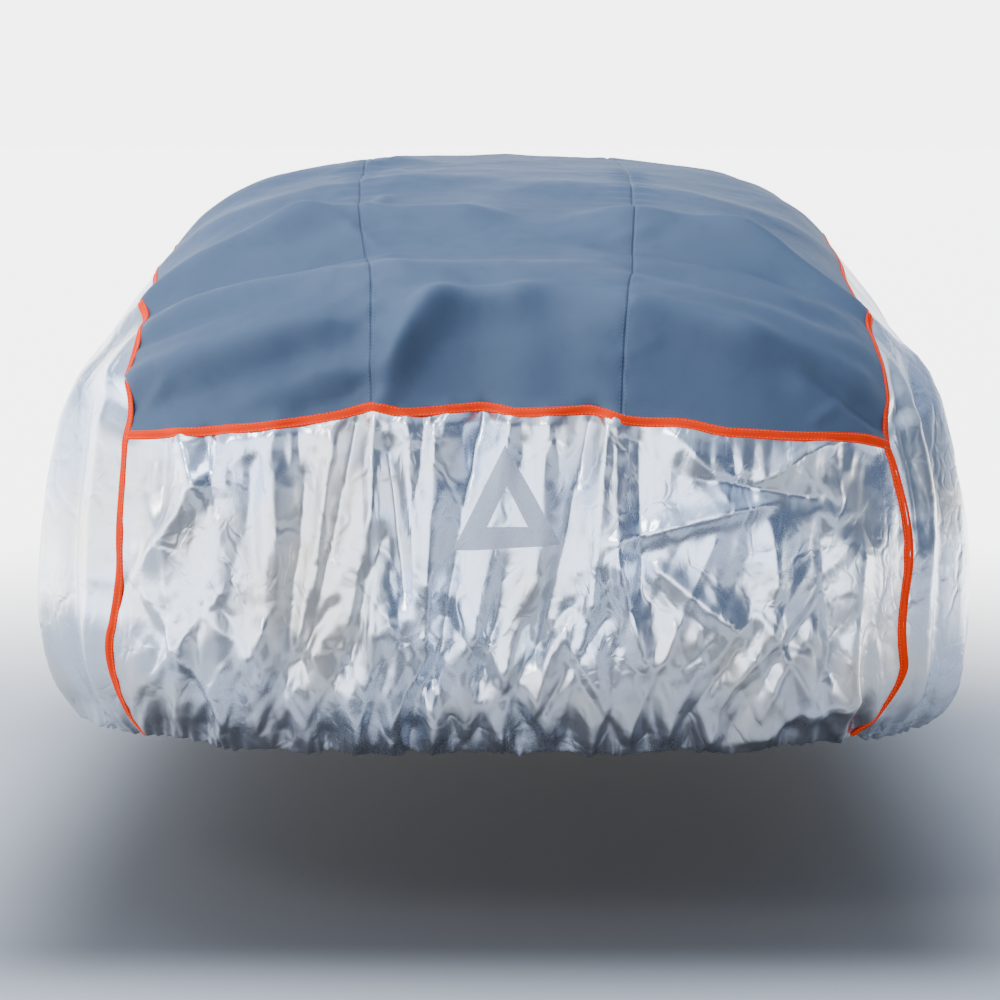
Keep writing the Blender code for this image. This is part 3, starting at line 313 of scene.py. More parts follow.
@dataclass
class Strip:
    """Control points of the long middle strip, from the near hem over the top to the far hem."""

    form: DrapedForm
    width_cells: int = 16
    end_rows: int = 20
    fans: int = 12
    top_rows: tuple[tuple[float, float, int], ...] = ((0.55, 1.39, 9), (1.6, 3.78, 14))
    spine_to_corner: float = 0.58
    near_seam: EasedTable = EasedTable((
        (0.36, 0.649, 0.645), (0.382, 0.674, 0.667), (0.417, 0.689, 0.696), (0.462, 0.7, 0.727),
        (0.503, 0.707, 0.743), (0.555, 0.71, 0.735), (0.6, 0.698, 0.73), (0.64, 0.694, 0.732),
        (0.7, 0.685, 0.741), (0.765, 0.683, 0.738), (0.835, 0.68, 0.722), (0.89, 0.678, 0.708),
        (0.94, 0.676, 0.69), (1.0, 0.678, 0.685), (1.05, 0.677, 0.688), (1.09, 0.672, 0.704),
        (1.125, 0.67, 0.698),
    ), 0.012)
    top_seam: EasedTable = EasedTable((
        (0.16, 0.668, 0.698), (0.35, 0.668, 0.69), (0.65, 0.684, 0.69), (1.2, 0.704, 0.706),
        (2.0, 0.71, 0.71), (2.7, 0.706, 0.706), (3.4, 0.69, 0.69), (4.1, 0.665, 0.665),
    ))
    far_seam: EasedTable = EasedTable(((0.36, 0.62), (0.5, 0.68), (0.62, 0.68), (0.75, 0.665)))
    width_seams: EasedTable = EasedTable((
        (0.0, -0.225, 0.214), (0.2, -0.232, 0.24), (0.6, -0.272, 0.26), (1.2, -0.297, 0.277),
        (4.4, -0.27, 0.25),
    ))
    cross_seam: EasedTable = EasedTable((
        (-0.68, 0.941), (-0.54, 0.953), (-0.43, 0.964), (-0.302, 0.984), (-0.228, 1.001),
        (-0.178, 0.991), (-0.107, 0.997), (-0.023, 1.006), (0.027, 0.991), (0.09, 0.993),
        (0.16, 0.999), (0.222, 0.978), (0.32, 0.973), (0.391, 0.957), (0.536, 0.946),
        (0.623, 0.938), (0.7, 0.917),
    ), 0.01)
    far_cross_height: float = 0.69
    near_hem: float = 0.372
    far_hem: float = 0.355
    crown_drop: float = 0.09
    easing_run: float = 0.25

    def __post_init__(self) -> None:
        """Finds the control points, their normals and their distance from the near cross seam."""
        self.columns = 3 * self.width_cells
        rows = [self.near_row(k / self.end_rows) for k in range(self.end_rows + 1)]
        shares = [k / self.fans for k in range(1, self.fans)]
        rows += [self.near_fan(rows[self.end_rows], share) for share in shares]
        for first, last, count in self.top_rows:
            rows += [self.top_row(setback) for setback in np.linspace(first, last, count)]
        seam = self.far_row(1.0)
        rows += [self.far_fan(seam, share) for share in shares]
        rows += [self.far_row(1 - k / self.end_rows) for k in range(self.end_rows + 1)]
        self.points = np.array(rows)
        self.rows = len(rows) - 1
        self.normals = self.form.normals(self.points)
        path = run_along(self.points[:, self.columns // 2])
        self.path = path - path[self.end_rows]

    @property
    def seam_rows(self) -> tuple[int, int]:
        """Rows of the near and the far cross seam."""
        return self.end_rows, self.rows - self.end_rows

    @property
    def corner_row(self) -> int:
        """Row at which the side seams turn from the near end to the top."""
        return self.end_rows + 5

    def across(self, left: float, right: float, seams: Sequence[float]) -> Array:
        """Spaces the columns evenly within each width.

        Args:
            left: Place of the left side seam.
            right: Place of the right side seam.
            seams: Places of the seams between them.

        Returns:
            The columns' places.
        """
        bounds = [left, *seams, right]
        spans = zip(bounds[:-1], bounds[1:])
        parts = [np.linspace(a, b, self.width_cells + 1)[:-1] for a, b in spans]
        return np.concatenate([*parts, [right]])

    def end_seams(self, low: float, high: float) -> Pair:
        """Places of the left and the right side seam at heights on the near end."""
        return -float(self.near_seam.at(low)), float(self.near_seam.at(high, 2))

    def near_row(self, share: float) -> Array:
        """Finds a row of the near end panel.

        Args:
            share: Share of the way up from the hem to the cross seam.

        Returns:
            The row's points.
        """
        seams = (self.width_seams.rows[0][1], self.width_seams.rows[0][2])
        middle = self.near_hem + (float(self.cross_seam.at(0.0)) - self.near_hem) * share
        x = self.across(*self.end_seams(middle, middle), seams)
        height = self.near_hem + (self.cross_seam.at(x) - self.near_hem) * share
        x = self.across(*self.end_seams(height[0], height[-1]), seams)
        bow = self.form.near_bow * (np.abs(x) / self.form.crown_half_width) ** 2
        wanted = np.stack([x, self.form.near_face.at(height) + bow, height], axis=-1)
        return self.form.steered(wanted, (0, 2))

    def fan(self, seam: Array, spine: Pair, sign: float, share: float) -> Array:
        """A row that turns over the edge between an end and the top.

        Args:
            seam: The cross seam's points.
            spine: Setback and height that the rows turn about.
            sign: -1 at the near end and 1 at the far end.
            share: Share of the turn from the seam to straight up.

        Returns:
            The row's points.
        """
        start = np.arctan2(seam[:, 2] - spine[1], sign * (seam[:, 1] - spine[0]))
        angle = start + (math.pi / 2 - start) * share
        setback = spine[0] + sign * self.spine_to_corner * np.cos(angle)
        height = spine[1] + self.spine_to_corner * np.sin(angle)
        x = self.top_places(float(setback.mean()), seam[:, 0])
        return self.form.steered(np.stack([x, setback, height], axis=-1), (0,))

    def near_fan(self, seam: Array, share: float) -> Array:
        """A row over the near end's edge."""
        return self.fan(seam, self.form.near_spine, -1.0, share)

    def far_fan(self, seam: Array, share: float) -> Array:
        """A row over the far end's edge, counted from the top."""
        return self.fan(seam, self.form.far_spine, 1.0, 1.0 - share)

    def top_row(self, setback: float) -> Array:
        """Finds a row across the top.

        Args:
            setback: Distance back from the near end.

        Returns:
            The row's points.
        """
        x = self.top_places(setback)
        drop = self.crown_drop * (np.abs(x) / self.form.crown_half_width) ** self.form.crown_power
        wanted = np.stack([x, np.full_like(x, setback), self.form.top.at(setback) - drop], axis=-1)
        return self.form.steered(wanted, (0, 1))

    def far_row(self, share: float) -> Array:
        """Finds a row of the far end panel.

        Args:
            share: Share of the way up from the hem to the cross seam.

        Returns:
            The row's points.
        """
        height = self.far_hem + (self.far_cross_height - self.far_hem) * share
        half = float(self.far_seam.at(height))
        x = self.across(-half, half, self.width_seams.rows[-1][1:])
        bow = self.form.far_bow * (np.abs(x) / self.form.crown_half_width) ** 2
        setback = LENGTH - self.form.far_face.at(height) - bow
        return self.form.steered(np.stack([x, setback, np.full_like(x, height)], axis=-1), (0, 2))

    def top_places(self, setback: float, end_row: Array | None = None) -> Array:
        """Finds places across the top, which near an end run into those of its own row.

        Args:
            setback: Distance back from the near end.
            end_row: Places of the nearest end's row.

        Returns:
            The columns' places.
        """
        seams = [float(self.width_seams.at(setback, c)) for c in (1, 2)]
        right = float(self.top_seam.at(setback, 2))
        places = self.across(-float(self.top_seam.at(setback)), right, seams)
        if end_row is None:
            return places
        share = np.clip(1.0 - min(setback, LENGTH - setback) / self.easing_run, 0.0, 1.0)
        return places + (end_row - places) * share


@dataclass
class SideGrid:
    """Control points of a side panel: i runs round from the near seam, j up from the hem."""

    strip: Strip
    sign: int
    hem: EasedTable = EasedTable((
        (0.0, 0.372), (0.45, 0.352), (1.2, 0.335), (3.2, 0.33), (4.1, 0.345), (4.4, 0.355),
    ), 0.1)
    tuck: Pair = (0.23, 0.33)
    evening_rounds: int = 60

    def __post_init__(self) -> None:
        """Blends the four edges across the panel and drops the points onto the form."""
        seam = self.strip.points[:, 0 if self.sign < 0 else -1]
        self.rows = self.strip.corner_row
        self.length = self.strip.rows - 2 * self.rows
        near, top, far = self.edges(seam)
        along, up = line_shares(top), line_shares(near)
        low, high = self.hem_line(near[0], far[0], along)[:, None, :], top[:, None, :]
        i, j = along[:, None, None], up[None, :, None]
        ruled = (1 - j) * low + j * high + (1 - i) * near[None] + i * far[None]
        ends = (1 - i) * ((1 - j) * low[0] + j * high[0]) + i * ((1 - j) * low[-1] + j * high[-1])
        points = ruled - ends
        for _ in range(self.evening_rounds):
            beside = points[:-2, 1:-1] + points[2:, 1:-1] + points[1:-1, :-2] + points[1:-1, 2:]
            points[1:-1, 1:-1] = beside / 4
        points[1:-1, 1:-1] = self.strip.form.steered(points[1:-1, 1:-1], (2,))
        self.points = points
        self.normals = self.strip.form.normals(points)

    def edges(self, line: Array) -> tuple[Array, Array, Array]:
        """The near, the top and the far edge of the grid, from a line along the seam."""
        rows = self.rows
        return line[: rows + 1], line[rows : len(line) - rows], line[::-1][: rows + 1]

    def hem_line(self, near: Array, far: Array, share: Array) -> Array:
        """Finds the hem, from the near seam round the corners to the far seam.

        Args:
            near: Its point on the near seam.
            far: Its point on the far seam.
            share: Shares of the way along it.

        Returns:
            Its points.
        """
        setback = near[1] + (far[1] - near[1]) * share
        ends = np.minimum(setback - near[1], far[1] - setback)
        x = near[0] * self.sign + self.tuck[0] * (1 - np.exp(-ends / self.tuck[1]))
        wanted = np.stack([self.sign * x, setback, self.hem.at(setback)], axis=-1)
        line = self.strip.form.steered(wanted, (1, 2))
        line[0], line[-1] = near, far
        return line


# ---- Folds ----


class Profile(Enum):
    """How a fold falls off to its sides."""

    SOFT = "rounded, as padding folds"
    CREASED = "sharp along its line, as foil folds"


END_FADE = 1.6  # half widths over which a fold dies away past its ends
CREST_ROUNDING = 0.0022
CREASE_WIDTH, CREASE_POWER, CREASE_GAIN = 0.92, 1.25, 1.12


@dataclass(frozen=True)
class Fold:
    """A ridge (height above 0) or a trough (below 0) along the line from its head to its foot."""

    head: Pair
    foot: Pair
    half_width: float
    height: float

    def raise_by(self, across: Array, along: Array, profile: Profile) -> Array:
        """Measures the fold at points of its cloth.

        Args:
            across: Points' places across the cloth.
            along: Points' places along the cloth.
            profile: How the fold falls off to its sides.

        Returns:
            Heights above the form.
        """
        run = np.subtract(self.foot, self.head)
        length = float(np.linalg.norm(run))
        dx, dy = across - self.head[0], along - self.head[1]
        t = (dx * run[0] + dy * run[1]) / length**2
        away = (dx * run[1] - dy * run[0]) / length
        past = np.maximum(np.maximum(-t, t - 1.0), 0.0) * length
        fade = np.exp(-((past / (END_FADE * self.half_width)) ** 2))
        if profile is Profile.SOFT:
            return self.height * fade * np.exp(-((away / self.half_width) ** 2))
        off = np.sqrt(away**2 + CREST_ROUNDING**2) - CREST_ROUNDING
        flank = np.exp(-((off / (CREASE_WIDTH * self.half_width)) ** CREASE_POWER))
        return CREASE_GAIN * self.height * fade * flank


def folds(*rows: tuple[float, float, float, float, float, float]) -> tuple[Fold, ...]:
    """Makes folds of rows (head across and along, foot across and along, half width, height)."""
    return tuple(Fold(row[0:2], row[2:4], row[4], row[5]) for row in rows)


def sum_folds(table: Sequence[Fold], across: Array, along: Array, profile: Profile) -> Array:
    """Returns the summed heights of a table of folds."""
    return sum((one.raise_by(across, along, profile) for one in table), np.zeros_like(across))


@dataclass(frozen=True)
class FacetField:
    """Crumpled foil: flat facets between scattered points, with creases where they meet."""

    pitch: float
    depth: float
    stretch: float
    seed: int
    scatter: float = 0.46
    margin: float = 1.5

    def heights(self, across: Array, along: Array) -> Array:
        """Measures the facets at points of a cloth.

        Args:
            across: Points' places across the cloth.
            along: Points' places along the cloth, in which the facets are stretched.

        Returns:
            Heights between minus and plus the depth.
        """
        random = np.random.default_rng(self.seed)
        u, v = across / self.pitch, along / (self.pitch * self.stretch)
        low = (u.min() - self.margin, v.min() - self.margin)
        high = (u.max() + self.margin, v.max() + self.margin)
        columns, rows = (int(math.ceil(b - a)) + 1 for a, b in zip(low, high))
        grid = np.stack(np.meshgrid(np.arange(columns), np.arange(rows)), axis=-1).reshape(-1, 2)
        places = grid + np.array(low) + random.uniform(-self.scatter, self.scatter, grid.shape)
        rises = random.uniform(-self.depth, self.depth, len(places))
        corners, _, faces, *_ = delaunay_2d_cdt([Vector(p) for p in places], [], [], 0, 1e-9)
        spots = np.array([c[:] for c in corners])
        flat_u, flat_v, flat = u.ravel(), v.ravel(), np.zeros(u.size)
        order = np.argsort(flat_u)
        sorted_u = flat_u[order]
        for a, b, c in faces:
            p, q, r = spots[a], spots[b], spots[c]
            first = np.searchsorted(sorted_u, min(p[0], q[0], r[0]))
            last = np.searchsorted(sorted_u, max(p[0], q[0], r[0]))
            near = order[first:last]
            if not len(near):
                continue
            above = flat_v[near] >= min(p[1], q[1], r[1])
            near = near[above & (flat_v[near] <= max(p[1], q[1], r[1]))]
            area = (q[0] - p[0]) * (r[1] - p[1]) - (r[0] - p[0]) * (q[1] - p[1])
            du, dv = flat_u[near] - p[0], flat_v[near] - p[1]
            wb = (du * (r[1] - p[1]) - dv * (r[0] - p[0])) / area
            wc = (dv * (q[0] - p[0]) - du * (q[1] - p[1])) / area
            inside = (wb >= 0) & (wc >= 0) & (wb + wc <= 1)
            wb, wc = wb[inside], wc[inside]
            flat[near[inside]] = rises[a] * (1 - wb - wc) + rises[b] * wb + rises[c] * wc
        return flat.reshape(u.shape)


SWELL_SHIFT = (3.7, 1.9, 5.3)  # from one pattern to the next
SWELL_STRETCH = (1.0, 1.0, 0.45)


def swell(points: Array, size: float, seed: int) -> Array:
    """Smooth uneven swells between -1 and 1, the same on each run.

    Args:
        points: Places in the cover, with their three values last.
        size: Distance over which the swells vary.
        seed: Which of the patterns to take.

    Returns:
        The swells at the points.
    """
    offset = seed * np.array(SWELL_SHIFT)
    scaled = (points * np.array(SWELL_STRETCH) / size + offset).reshape(-1, 3)
    values = np.fromiter((noise.noise(p) for p in scaled.tolist()), float, len(scaled))
    return values.reshape(points.shape[:-1])


@dataclass(frozen=True)
class HemGathers:
    """What the elastic draws up along a hem: wide scallops, and small pleats at the very edge."""

    pitch: float = 0.074
    height: float = 0.017
    reach: float = 0.135
    pleat_pitch: float = 0.019
    pleat_height: float = 0.0024
    pleat_reach: float = 0.045
    edge_share: float = 0.15
    edge_rise: float = 0.035
    slow_pitch: float = 2.3
    shares: Pair = (0.75, 0.45)
    # height, turns and start of the waves that make the scallops and the pleats uneven
    drifts: tuple[tuple[float, float, float], ...] = ((1.1, 0.54, 0.4), (0.7, 1.27, 2.0))
    pleat_drifts: tuple[Pair, ...] = ((2.4, 23.0), (1.3, 61.0))

    def heights(self, q: Array, rise: Array) -> Array:
        """Measures the gathers.

        Args:
            q: Distance round the cover.
            rise: Height above the hem.

        Returns:
            Heights above the form.
        """
        drift = sum(h * np.sin(turns * q / self.pitch + start) for h, turns, start in self.drifts)
        wave = np.sin(2 * math.pi * q / self.pitch + drift)
        slower = np.sin(2 * math.pi * q / (self.slow_pitch * self.pitch) + 1.7 * drift)
        up = np.maximum(rise, 0.0)
        held = self.edge_share + (1 - self.edge_share) * np.clip(up / self.edge_rise, 0.0, 1.0)
        waves = self.shares[0] * wave + self.shares[1] * slower
        scallops = self.height * waves * np.exp(-((up / self.reach) ** 1.3)) * held
        turn = 2 * math.pi * q / self.pleat_pitch
        turn = turn + sum(height * np.sin(q * turns) for height, turns in self.pleat_drifts)
        pleats = np.sin(turn) * (0.65 + 0.35 * np.sin(q * 37.0 + 1.0))
        return scallops + self.pleat_height * pleats * np.exp(-((up / self.pleat_reach) ** 1.4))


@dataclass(frozen=True)
class CreaseRow:
    """A row of small uneven creases beside each other, such as pulled film shows along a seam."""

    across: Pair
    heads: Pair
    feet: Pair
    pitch: float
    lean: Pair
    seed: int
    half_width: Pair = (0.009, 0.015)
    height: Pair = (0.003, 0.006)

    def lines(self) -> tuple[Fold, ...]:
        """Draws the creases, ridges and troughs in turn."""
        random = np.random.default_rng(self.seed)
        made = []
        for k, place in enumerate(np.arange(*self.across, self.pitch)):
            x = float(place + random.uniform(-0.35, 0.35) * self.pitch)
            low, high = (float(random.uniform(*span)) for span in (self.feet, self.heads))
            lean = float(random.uniform(*self.lean)) * (high - low)
            rise = float(random.uniform(*self.height)) * (1 if k % 2 else -1)
            width = float(random.uniform(*self.half_width))
            made.append(Fold((x, high), (x + lean, low), width, rise))
        return tuple(made)


@dataclass
class CoverFolds:
    """All the folds of the cover, as heights above the form."""

    strip: Strip
    end: tuple[Fold, ...] = folds(
        # left width of the end panel
        (-0.605, 0.93, -0.6, 0.6, 0.022, -0.012), (-0.565, 0.95, -0.53, 0.86, 0.026, 0.016),
        (-0.53, 0.86, -0.608, 0.75, 0.026, 0.017), (-0.52, 0.95, -0.5, 0.84, 0.022, -0.014),
        (-0.6, 0.76, -0.585, 0.56, 0.028, 0.012), (-0.475, 0.93, -0.52, 0.6, 0.04, 0.013),
        (-0.44, 0.88, -0.43, 0.66, 0.026, -0.01), (-0.395, 0.96, -0.42, 0.56, 0.034, 0.014),
        (-0.345, 0.86, -0.375, 0.55, 0.024, -0.012), (-0.3, 0.93, -0.33, 0.58, 0.028, 0.012),
        (-0.253, 0.97, -0.345, 0.55, 0.022, -0.017), (-0.222, 0.96, -0.225, 0.62, 0.024, 0.018),
        (-0.196, 0.92, -0.165, 0.68, 0.02, -0.019), (-0.165, 0.98, -0.15, 0.68, 0.022, 0.015),
        (-0.214, 0.76, -0.265, 0.55, 0.022, -0.018),
        # middle width
        (-0.095, 0.99, -0.13, 0.6, 0.026, 0.012), (-0.028, 1.0, -0.12, 0.51, 0.022, -0.022),
        (0.02, 0.99, -0.045, 0.6, 0.03, 0.013), (0.018, 0.75, -0.035, 0.51, 0.02, -0.015),
        (0.085, 0.99, 0.07, 0.7, 0.03, 0.01), (0.16, 0.98, 0.07, 0.58, 0.03, -0.024),
        (0.185, 0.97, 0.16, 0.66, 0.018, 0.013), (0.205, 0.98, 0.208, 0.7, 0.024, 0.015),
        (0.21, 0.72, 0.254, 0.56, 0.022, 0.018), (0.245, 0.93, 0.248, 0.68, 0.026, -0.013),
        # right width
        (0.214, 0.77, 0.463, 0.83, 0.02, 0.01), (0.33, 0.93, 0.38, 0.87, 0.032, 0.012),
        (0.38, 0.87, 0.545, 0.84, 0.022, -0.01), (0.477, 0.88, 0.571, 0.93, 0.02, 0.011),
        (0.3, 0.7, 0.4, 0.62, 0.028, 0.012), (0.48, 0.76, 0.5, 0.6, 0.03, 0.012),
        (0.573, 0.76, 0.597, 0.53, 0.022, -0.014), (0.643, 0.72, 0.63, 0.48, 0.026, 0.014),
        (0.605, 0.46, 0.44, 0.4, 0.026, 0.012), (0.53, 0.6, 0.4, 0.45, 0.024, -0.01),
        (0.35, 0.6, 0.3, 0.45, 0.028, 0.01),
    )
    side: tuple[Fold, ...] = folds(
        (-0.745, 1.0, -0.77, 0.5, 0.04, 0.014), (-0.85, 0.95, -0.84, 0.45, 0.034, -0.014),
        (-0.94, 1.0, -0.99, 0.45, 0.045, 0.016), (-1.12, 0.98, -1.09, 0.5, 0.045, -0.014),
        (-1.33, 0.95, -1.4, 0.45, 0.06, 0.014), (-1.65, 1.0, -1.6, 0.5, 0.055, -0.013),
        (0.76, 1.02, 0.77, 0.78, 0.026, -0.018), (0.8, 0.95, 0.79, 0.45, 0.034, 0.016),
        (0.87, 1.0, 0.86, 0.42, 0.03, -0.016), (0.955, 1.02, 0.94, 0.45, 0.036, 0.017),
        (1.08, 0.95, 1.06, 0.42, 0.04, -0.015), (1.26, 0.98, 1.3, 0.5, 0.055, 0.014),
        (1.52, 0.98, 1.48, 0.5, 0.05, -0.013), (1.8, 0.95, 1.85, 0.5, 0.06, 0.013),
    )
    top: tuple[Fold, ...] = folds(
        # the hanging lower face, with its hollow between two bulges
        (-0.06, 0.0, -0.02, 0.17, 0.09, -0.018), (0.1, 0.0, 0.11, 0.15, 0.06, -0.01),
        (-0.21, 0.02, -0.18, 0.11, 0.03, 0.02), (-0.18, 0.11, -0.12, 0.18, 0.034, 0.022),
        (-0.12, 0.18, 0.02, 0.215, 0.036, 0.018), (-0.235, 0.03, -0.33, 0.01, 0.026, -0.01),
        (-0.64, 0.06, -0.38, 0.1, 0.036, -0.011), (-0.64, 0.15, -0.33, 0.17, 0.034, 0.012),
        (-0.42, 0.07, -0.26, 0.08, 0.03, 0.008), (0.25, 0.2, 0.43, 0.17, 0.036, 0.016),
        (0.43, 0.17, 0.62, 0.13, 0.036, 0.014), (0.54, 0.09, 0.65, 0.02, 0.024, 0.01),
        (0.57, 0.12, 0.66, 0.06, 0.028, -0.012),
        # between the near end's edge and the second arc
        (-0.56, 0.36, -0.24, 0.32, 0.055, 0.013), (-0.6, 0.28, -0.42, 0.27, 0.04, -0.012),
        (-0.1, 0.34, 0.18, 0.38, 0.06, 0.01), (0.26, 0.38, 0.56, 0.3, 0.055, -0.012),
        (-0.64, 0.6, -0.38, 0.7, 0.05, 0.02), (-0.38, 0.7, -0.08, 0.71, 0.05, 0.016),
        (-0.56, 0.5, -0.28, 0.54, 0.05, -0.016), (0.24, 0.7, 0.46, 0.66, 0.05, 0.018),
        (0.46, 0.66, 0.66, 0.52, 0.045, 0.016), (0.23, 0.56, 0.52, 0.52, 0.05, -0.012),
        # up the near slope, along the top and down the far slope
        (-0.54, 0.95, -0.18, 1.05, 0.08, 0.012), (0.1, 1.02, 0.56, 0.96, 0.08, 0.004),
        (-0.62, 1.35, -0.25, 1.5, 0.08, 0.01), (-0.5, 2.6, 0.4, 2.66, 0.09, 0.01),
        (-0.6, 3.2, 0.0, 3.1, 0.07, -0.012), (0.05, 3.3, 0.6, 3.22, 0.06, -0.011),
        (-0.45, 3.55, 0.35, 3.62, 0.08, 0.01),
    )
    seam_wrinkles: tuple[Fold, ...] = folds(
        # small folds that the stitching of the left and right seams draws up, and at the corners
        (-0.235, 0.145, -0.3, 0.165, 0.012, 0.005), (-0.225, 0.105, -0.285, 0.12, 0.011, -0.004),
        (-0.25, 0.07, -0.33, 0.085, 0.012, 0.004), (-0.225, 0.19, -0.27, 0.215, 0.012, 0.005),
        (-0.24, 0.56, -0.29, 0.64, 0.02, 0.007), (-0.235, 0.66, -0.3, 0.7, 0.02, -0.006),
        (-0.25, 0.74, -0.23, 0.86, 0.018, 0.006), (0.225, 0.12, 0.27, 0.14, 0.012, 0.004),
        (0.228, 0.6, 0.28, 0.63, 0.018, 0.005), (0.56, 0.035, 0.61, 0.085, 0.012, 0.006),
        (-0.66, 0.05, -0.6, 0.11, 0.013, 0.005), (-0.65, 0.01, -0.57, 0.03, 0.012, -0.004),
    )
    creases: tuple[CreaseRow, ...] = (
        # down from the cross seam, over the middle, and up from the hem, leaning both ways
        CreaseRow(
            (-0.64, 0.66), (0.96, 1.0), (0.84, 0.92), 0.021, (-0.15, 0.15), 31,
            (0.006, 0.01), (0.0015, 0.0035),
        ),
        CreaseRow(
            (-0.62, 0.3), (0.88, 0.99), (0.56, 0.72), 0.047, (-0.28, 0.02), 32,
            (0.01, 0.016), (0.002, 0.0055),
        ),
        CreaseRow(
            (-0.62, 0.66), (0.6, 0.78), (0.45, 0.55), 0.043, (-0.9, 0.1), 33,
            (0.009, 0.014), (0.002, 0.0042),
        ),
        CreaseRow((-0.6, 0.66), (0.52, 0.66), (0.36, 0.44), 0.036, (-0.7, -0.2), 34),
        CreaseRow((-0.66, 0.62), (0.52, 0.68), (0.36, 0.44), 0.036, (0.2, 0.7), 35),
    )
    coarse_facets: FacetField = FacetField(0.105, 0.005, 2.2, 11)
    middle_facets: FacetField = FacetField(0.048, 0.003, 2.0, 12)
    fine_facets: FacetField = FacetField(0.022, 0.0014, 1.5, 13)
    side_facets: FacetField = FacetField(0.15, 0.006, 3.4, 14)
    side_fine_facets: FacetField = FacetField(0.06, 0.002, 2.6, 15)
    near_gathers: HemGathers = HemGathers()
    side_gathers: HemGathers = HemGathers(pitch=0.43, pleat_pitch=0.045, pleat_height=0.004)
    crumple_height: float = 0.0045
    crumple_size: float = 0.11
    edge_run: float = 0.05
    foam_gain: float = 1.45
    film_gain: float = 1.2
    padded_swells: Pair = (2.2, 3.2)
    ridges: tuple[tuple[float, float, int], ...] = (
        (0.34, 0.016, 5), (0.15, 0.0075, 6), (0.065, 0.0026, 7),
    )
    ridge_level: float = 0.22
    ridge_rounding: float = 0.0016
    wide_ridge: float = 0.2
    ridge_share: float = 0.45
    crumpled_seam: Pair = (-0.26, 0.1)
    seam_places: Pair = (-0.69, 0.71)
    far_shift: float = 9.0
    patch_centre: Pair = (0.0113, 0.797)
    patch_edge: float = 1.35
    patch_calm: float = 0.13
    patch_flatness: float = 0.88

    def strip_heights(self, points: Array, path: Array) -> Array:
        """Measures the folds over the long middle strip.

        Args:
            points: Places on the form.
            path: Their distances from the near cross seam.

        Returns:
            Heights above the form.
        """
        x, height = points[..., 0], points[..., 2]
        s = np.broadcast_to(path, x.shape)
        far_path = self.strip.path[self.strip.seam_rows[1]]
        on_panel = np.clip(-s / self.edge_run, 0.0, 1.0)
        on_far = np.clip((s - far_path) / self.edge_run, 0.0, 1.0)
        on_top = np.clip(0.5 + s / self.edge_run, 0.0, 1.0) * (1 - on_far)
        end = self.film_gain * sum_folds(self.end, x, height, Profile.CREASED)
        end *= np.clip(0.6 - s / self.edge_run, 0.0, 1.0)
        top = self.foam_gain * sum_folds(self.top, x, s, Profile.SOFT) * on_top
        from_seam = np.minimum(x - self.seam_places[0], self.seam_places[1] - x)
        hems = self.near_gathers.heights(x, height - self.strip.near_hem) * on_panel
        far_rise = height - self.strip.far_hem
        hems = hems + self.near_gathers.heights(x + self.far_shift, far_rise) * on_far
        hems *= np.clip(from_seam / self.edge_run, 0.2, 1.0)
        film = on_panel + on_far
        swells = self.crumple_height * swell(points, self.crumple_size, 1) * film
        rise, size = self.padded_swells
        swells += rise * self.crumple_height * swell(points, size * self.crumple_size, 2) * on_top
        total = end + hems + swells + top
        wrinkles = sum_folds(self.seam_wrinkles, x, s, Profile.SOFT)
        total += (wrinkles + self.padded_ridges(points)) * on_top
        if film.max() > 0:
            for row in self.creases:
                total += sum_folds(row.lines(), x, height, Profile.CREASED) * on_panel
            shifted = x + self.far_shift * (s > 1.0)
            creases = self.coarse_facets.heights(shifted, height)
            creases += self.middle_facets.heights(shifted, height)
            creases += self.fine_facets.heights(shifted, height)
            total += creases * film
        away = np.hypot(x - self.patch_centre[0], height - self.patch_centre[1])
        calm = np.clip(self.patch_edge - away / self.patch_calm, 0.0, 1.0) * on_panel
        return total * (1 - self.patch_flatness * calm)

    def padded_ridges(self, points: Array) -> Array:
        """Measures the uneven soft folds of the padded top, more of them beside its left seam.

        Args:
            points: Places on the form.

        Returns:
            Heights above the form.
        """
        seam, reach = self.crumpled_seam
        crumpled = np.exp(-(((points[..., 0] - seam) / reach) ** 2))
        total = np.zeros(points.shape[:-1])
        for size, height, seed in self.ridges:
            swells = swell(points, size, seed)
            ridge = self.ridge_level - np.sqrt(swells**2 + self.ridge_rounding)
            share = 1.0 if size > self.wide_ridge else self.ridge_share + crumpled
            total += height * ridge * share
        return total

    def side_heights(self, points: Array, around: Array, rise: Array) -> Array:
        """Measures the folds over a side panel, before they run into those along its seams.

        Args:
            points: Places on the form.
            around: Signed distance round the cover from the middle of the near end.
            rise: Height above the hem.

        Returns:
            Heights above the form.
        """
        height = points[..., 2]
        total = sum_folds(self.side + self.end, around, height, Profile.CREASED)
        total += self.side_gathers.heights(around, rise)
        total += 1.5 * self.crumple_height * swell(points, 2 * self.crumple_size, 3)
        total += self.crumple_height * swell(points, self.crumple_size, 4)
        total += self.side_facets.heights(around, height)
        return total + self.side_fine_facets.heights(around, height)


# ---- Cloth meshes ----


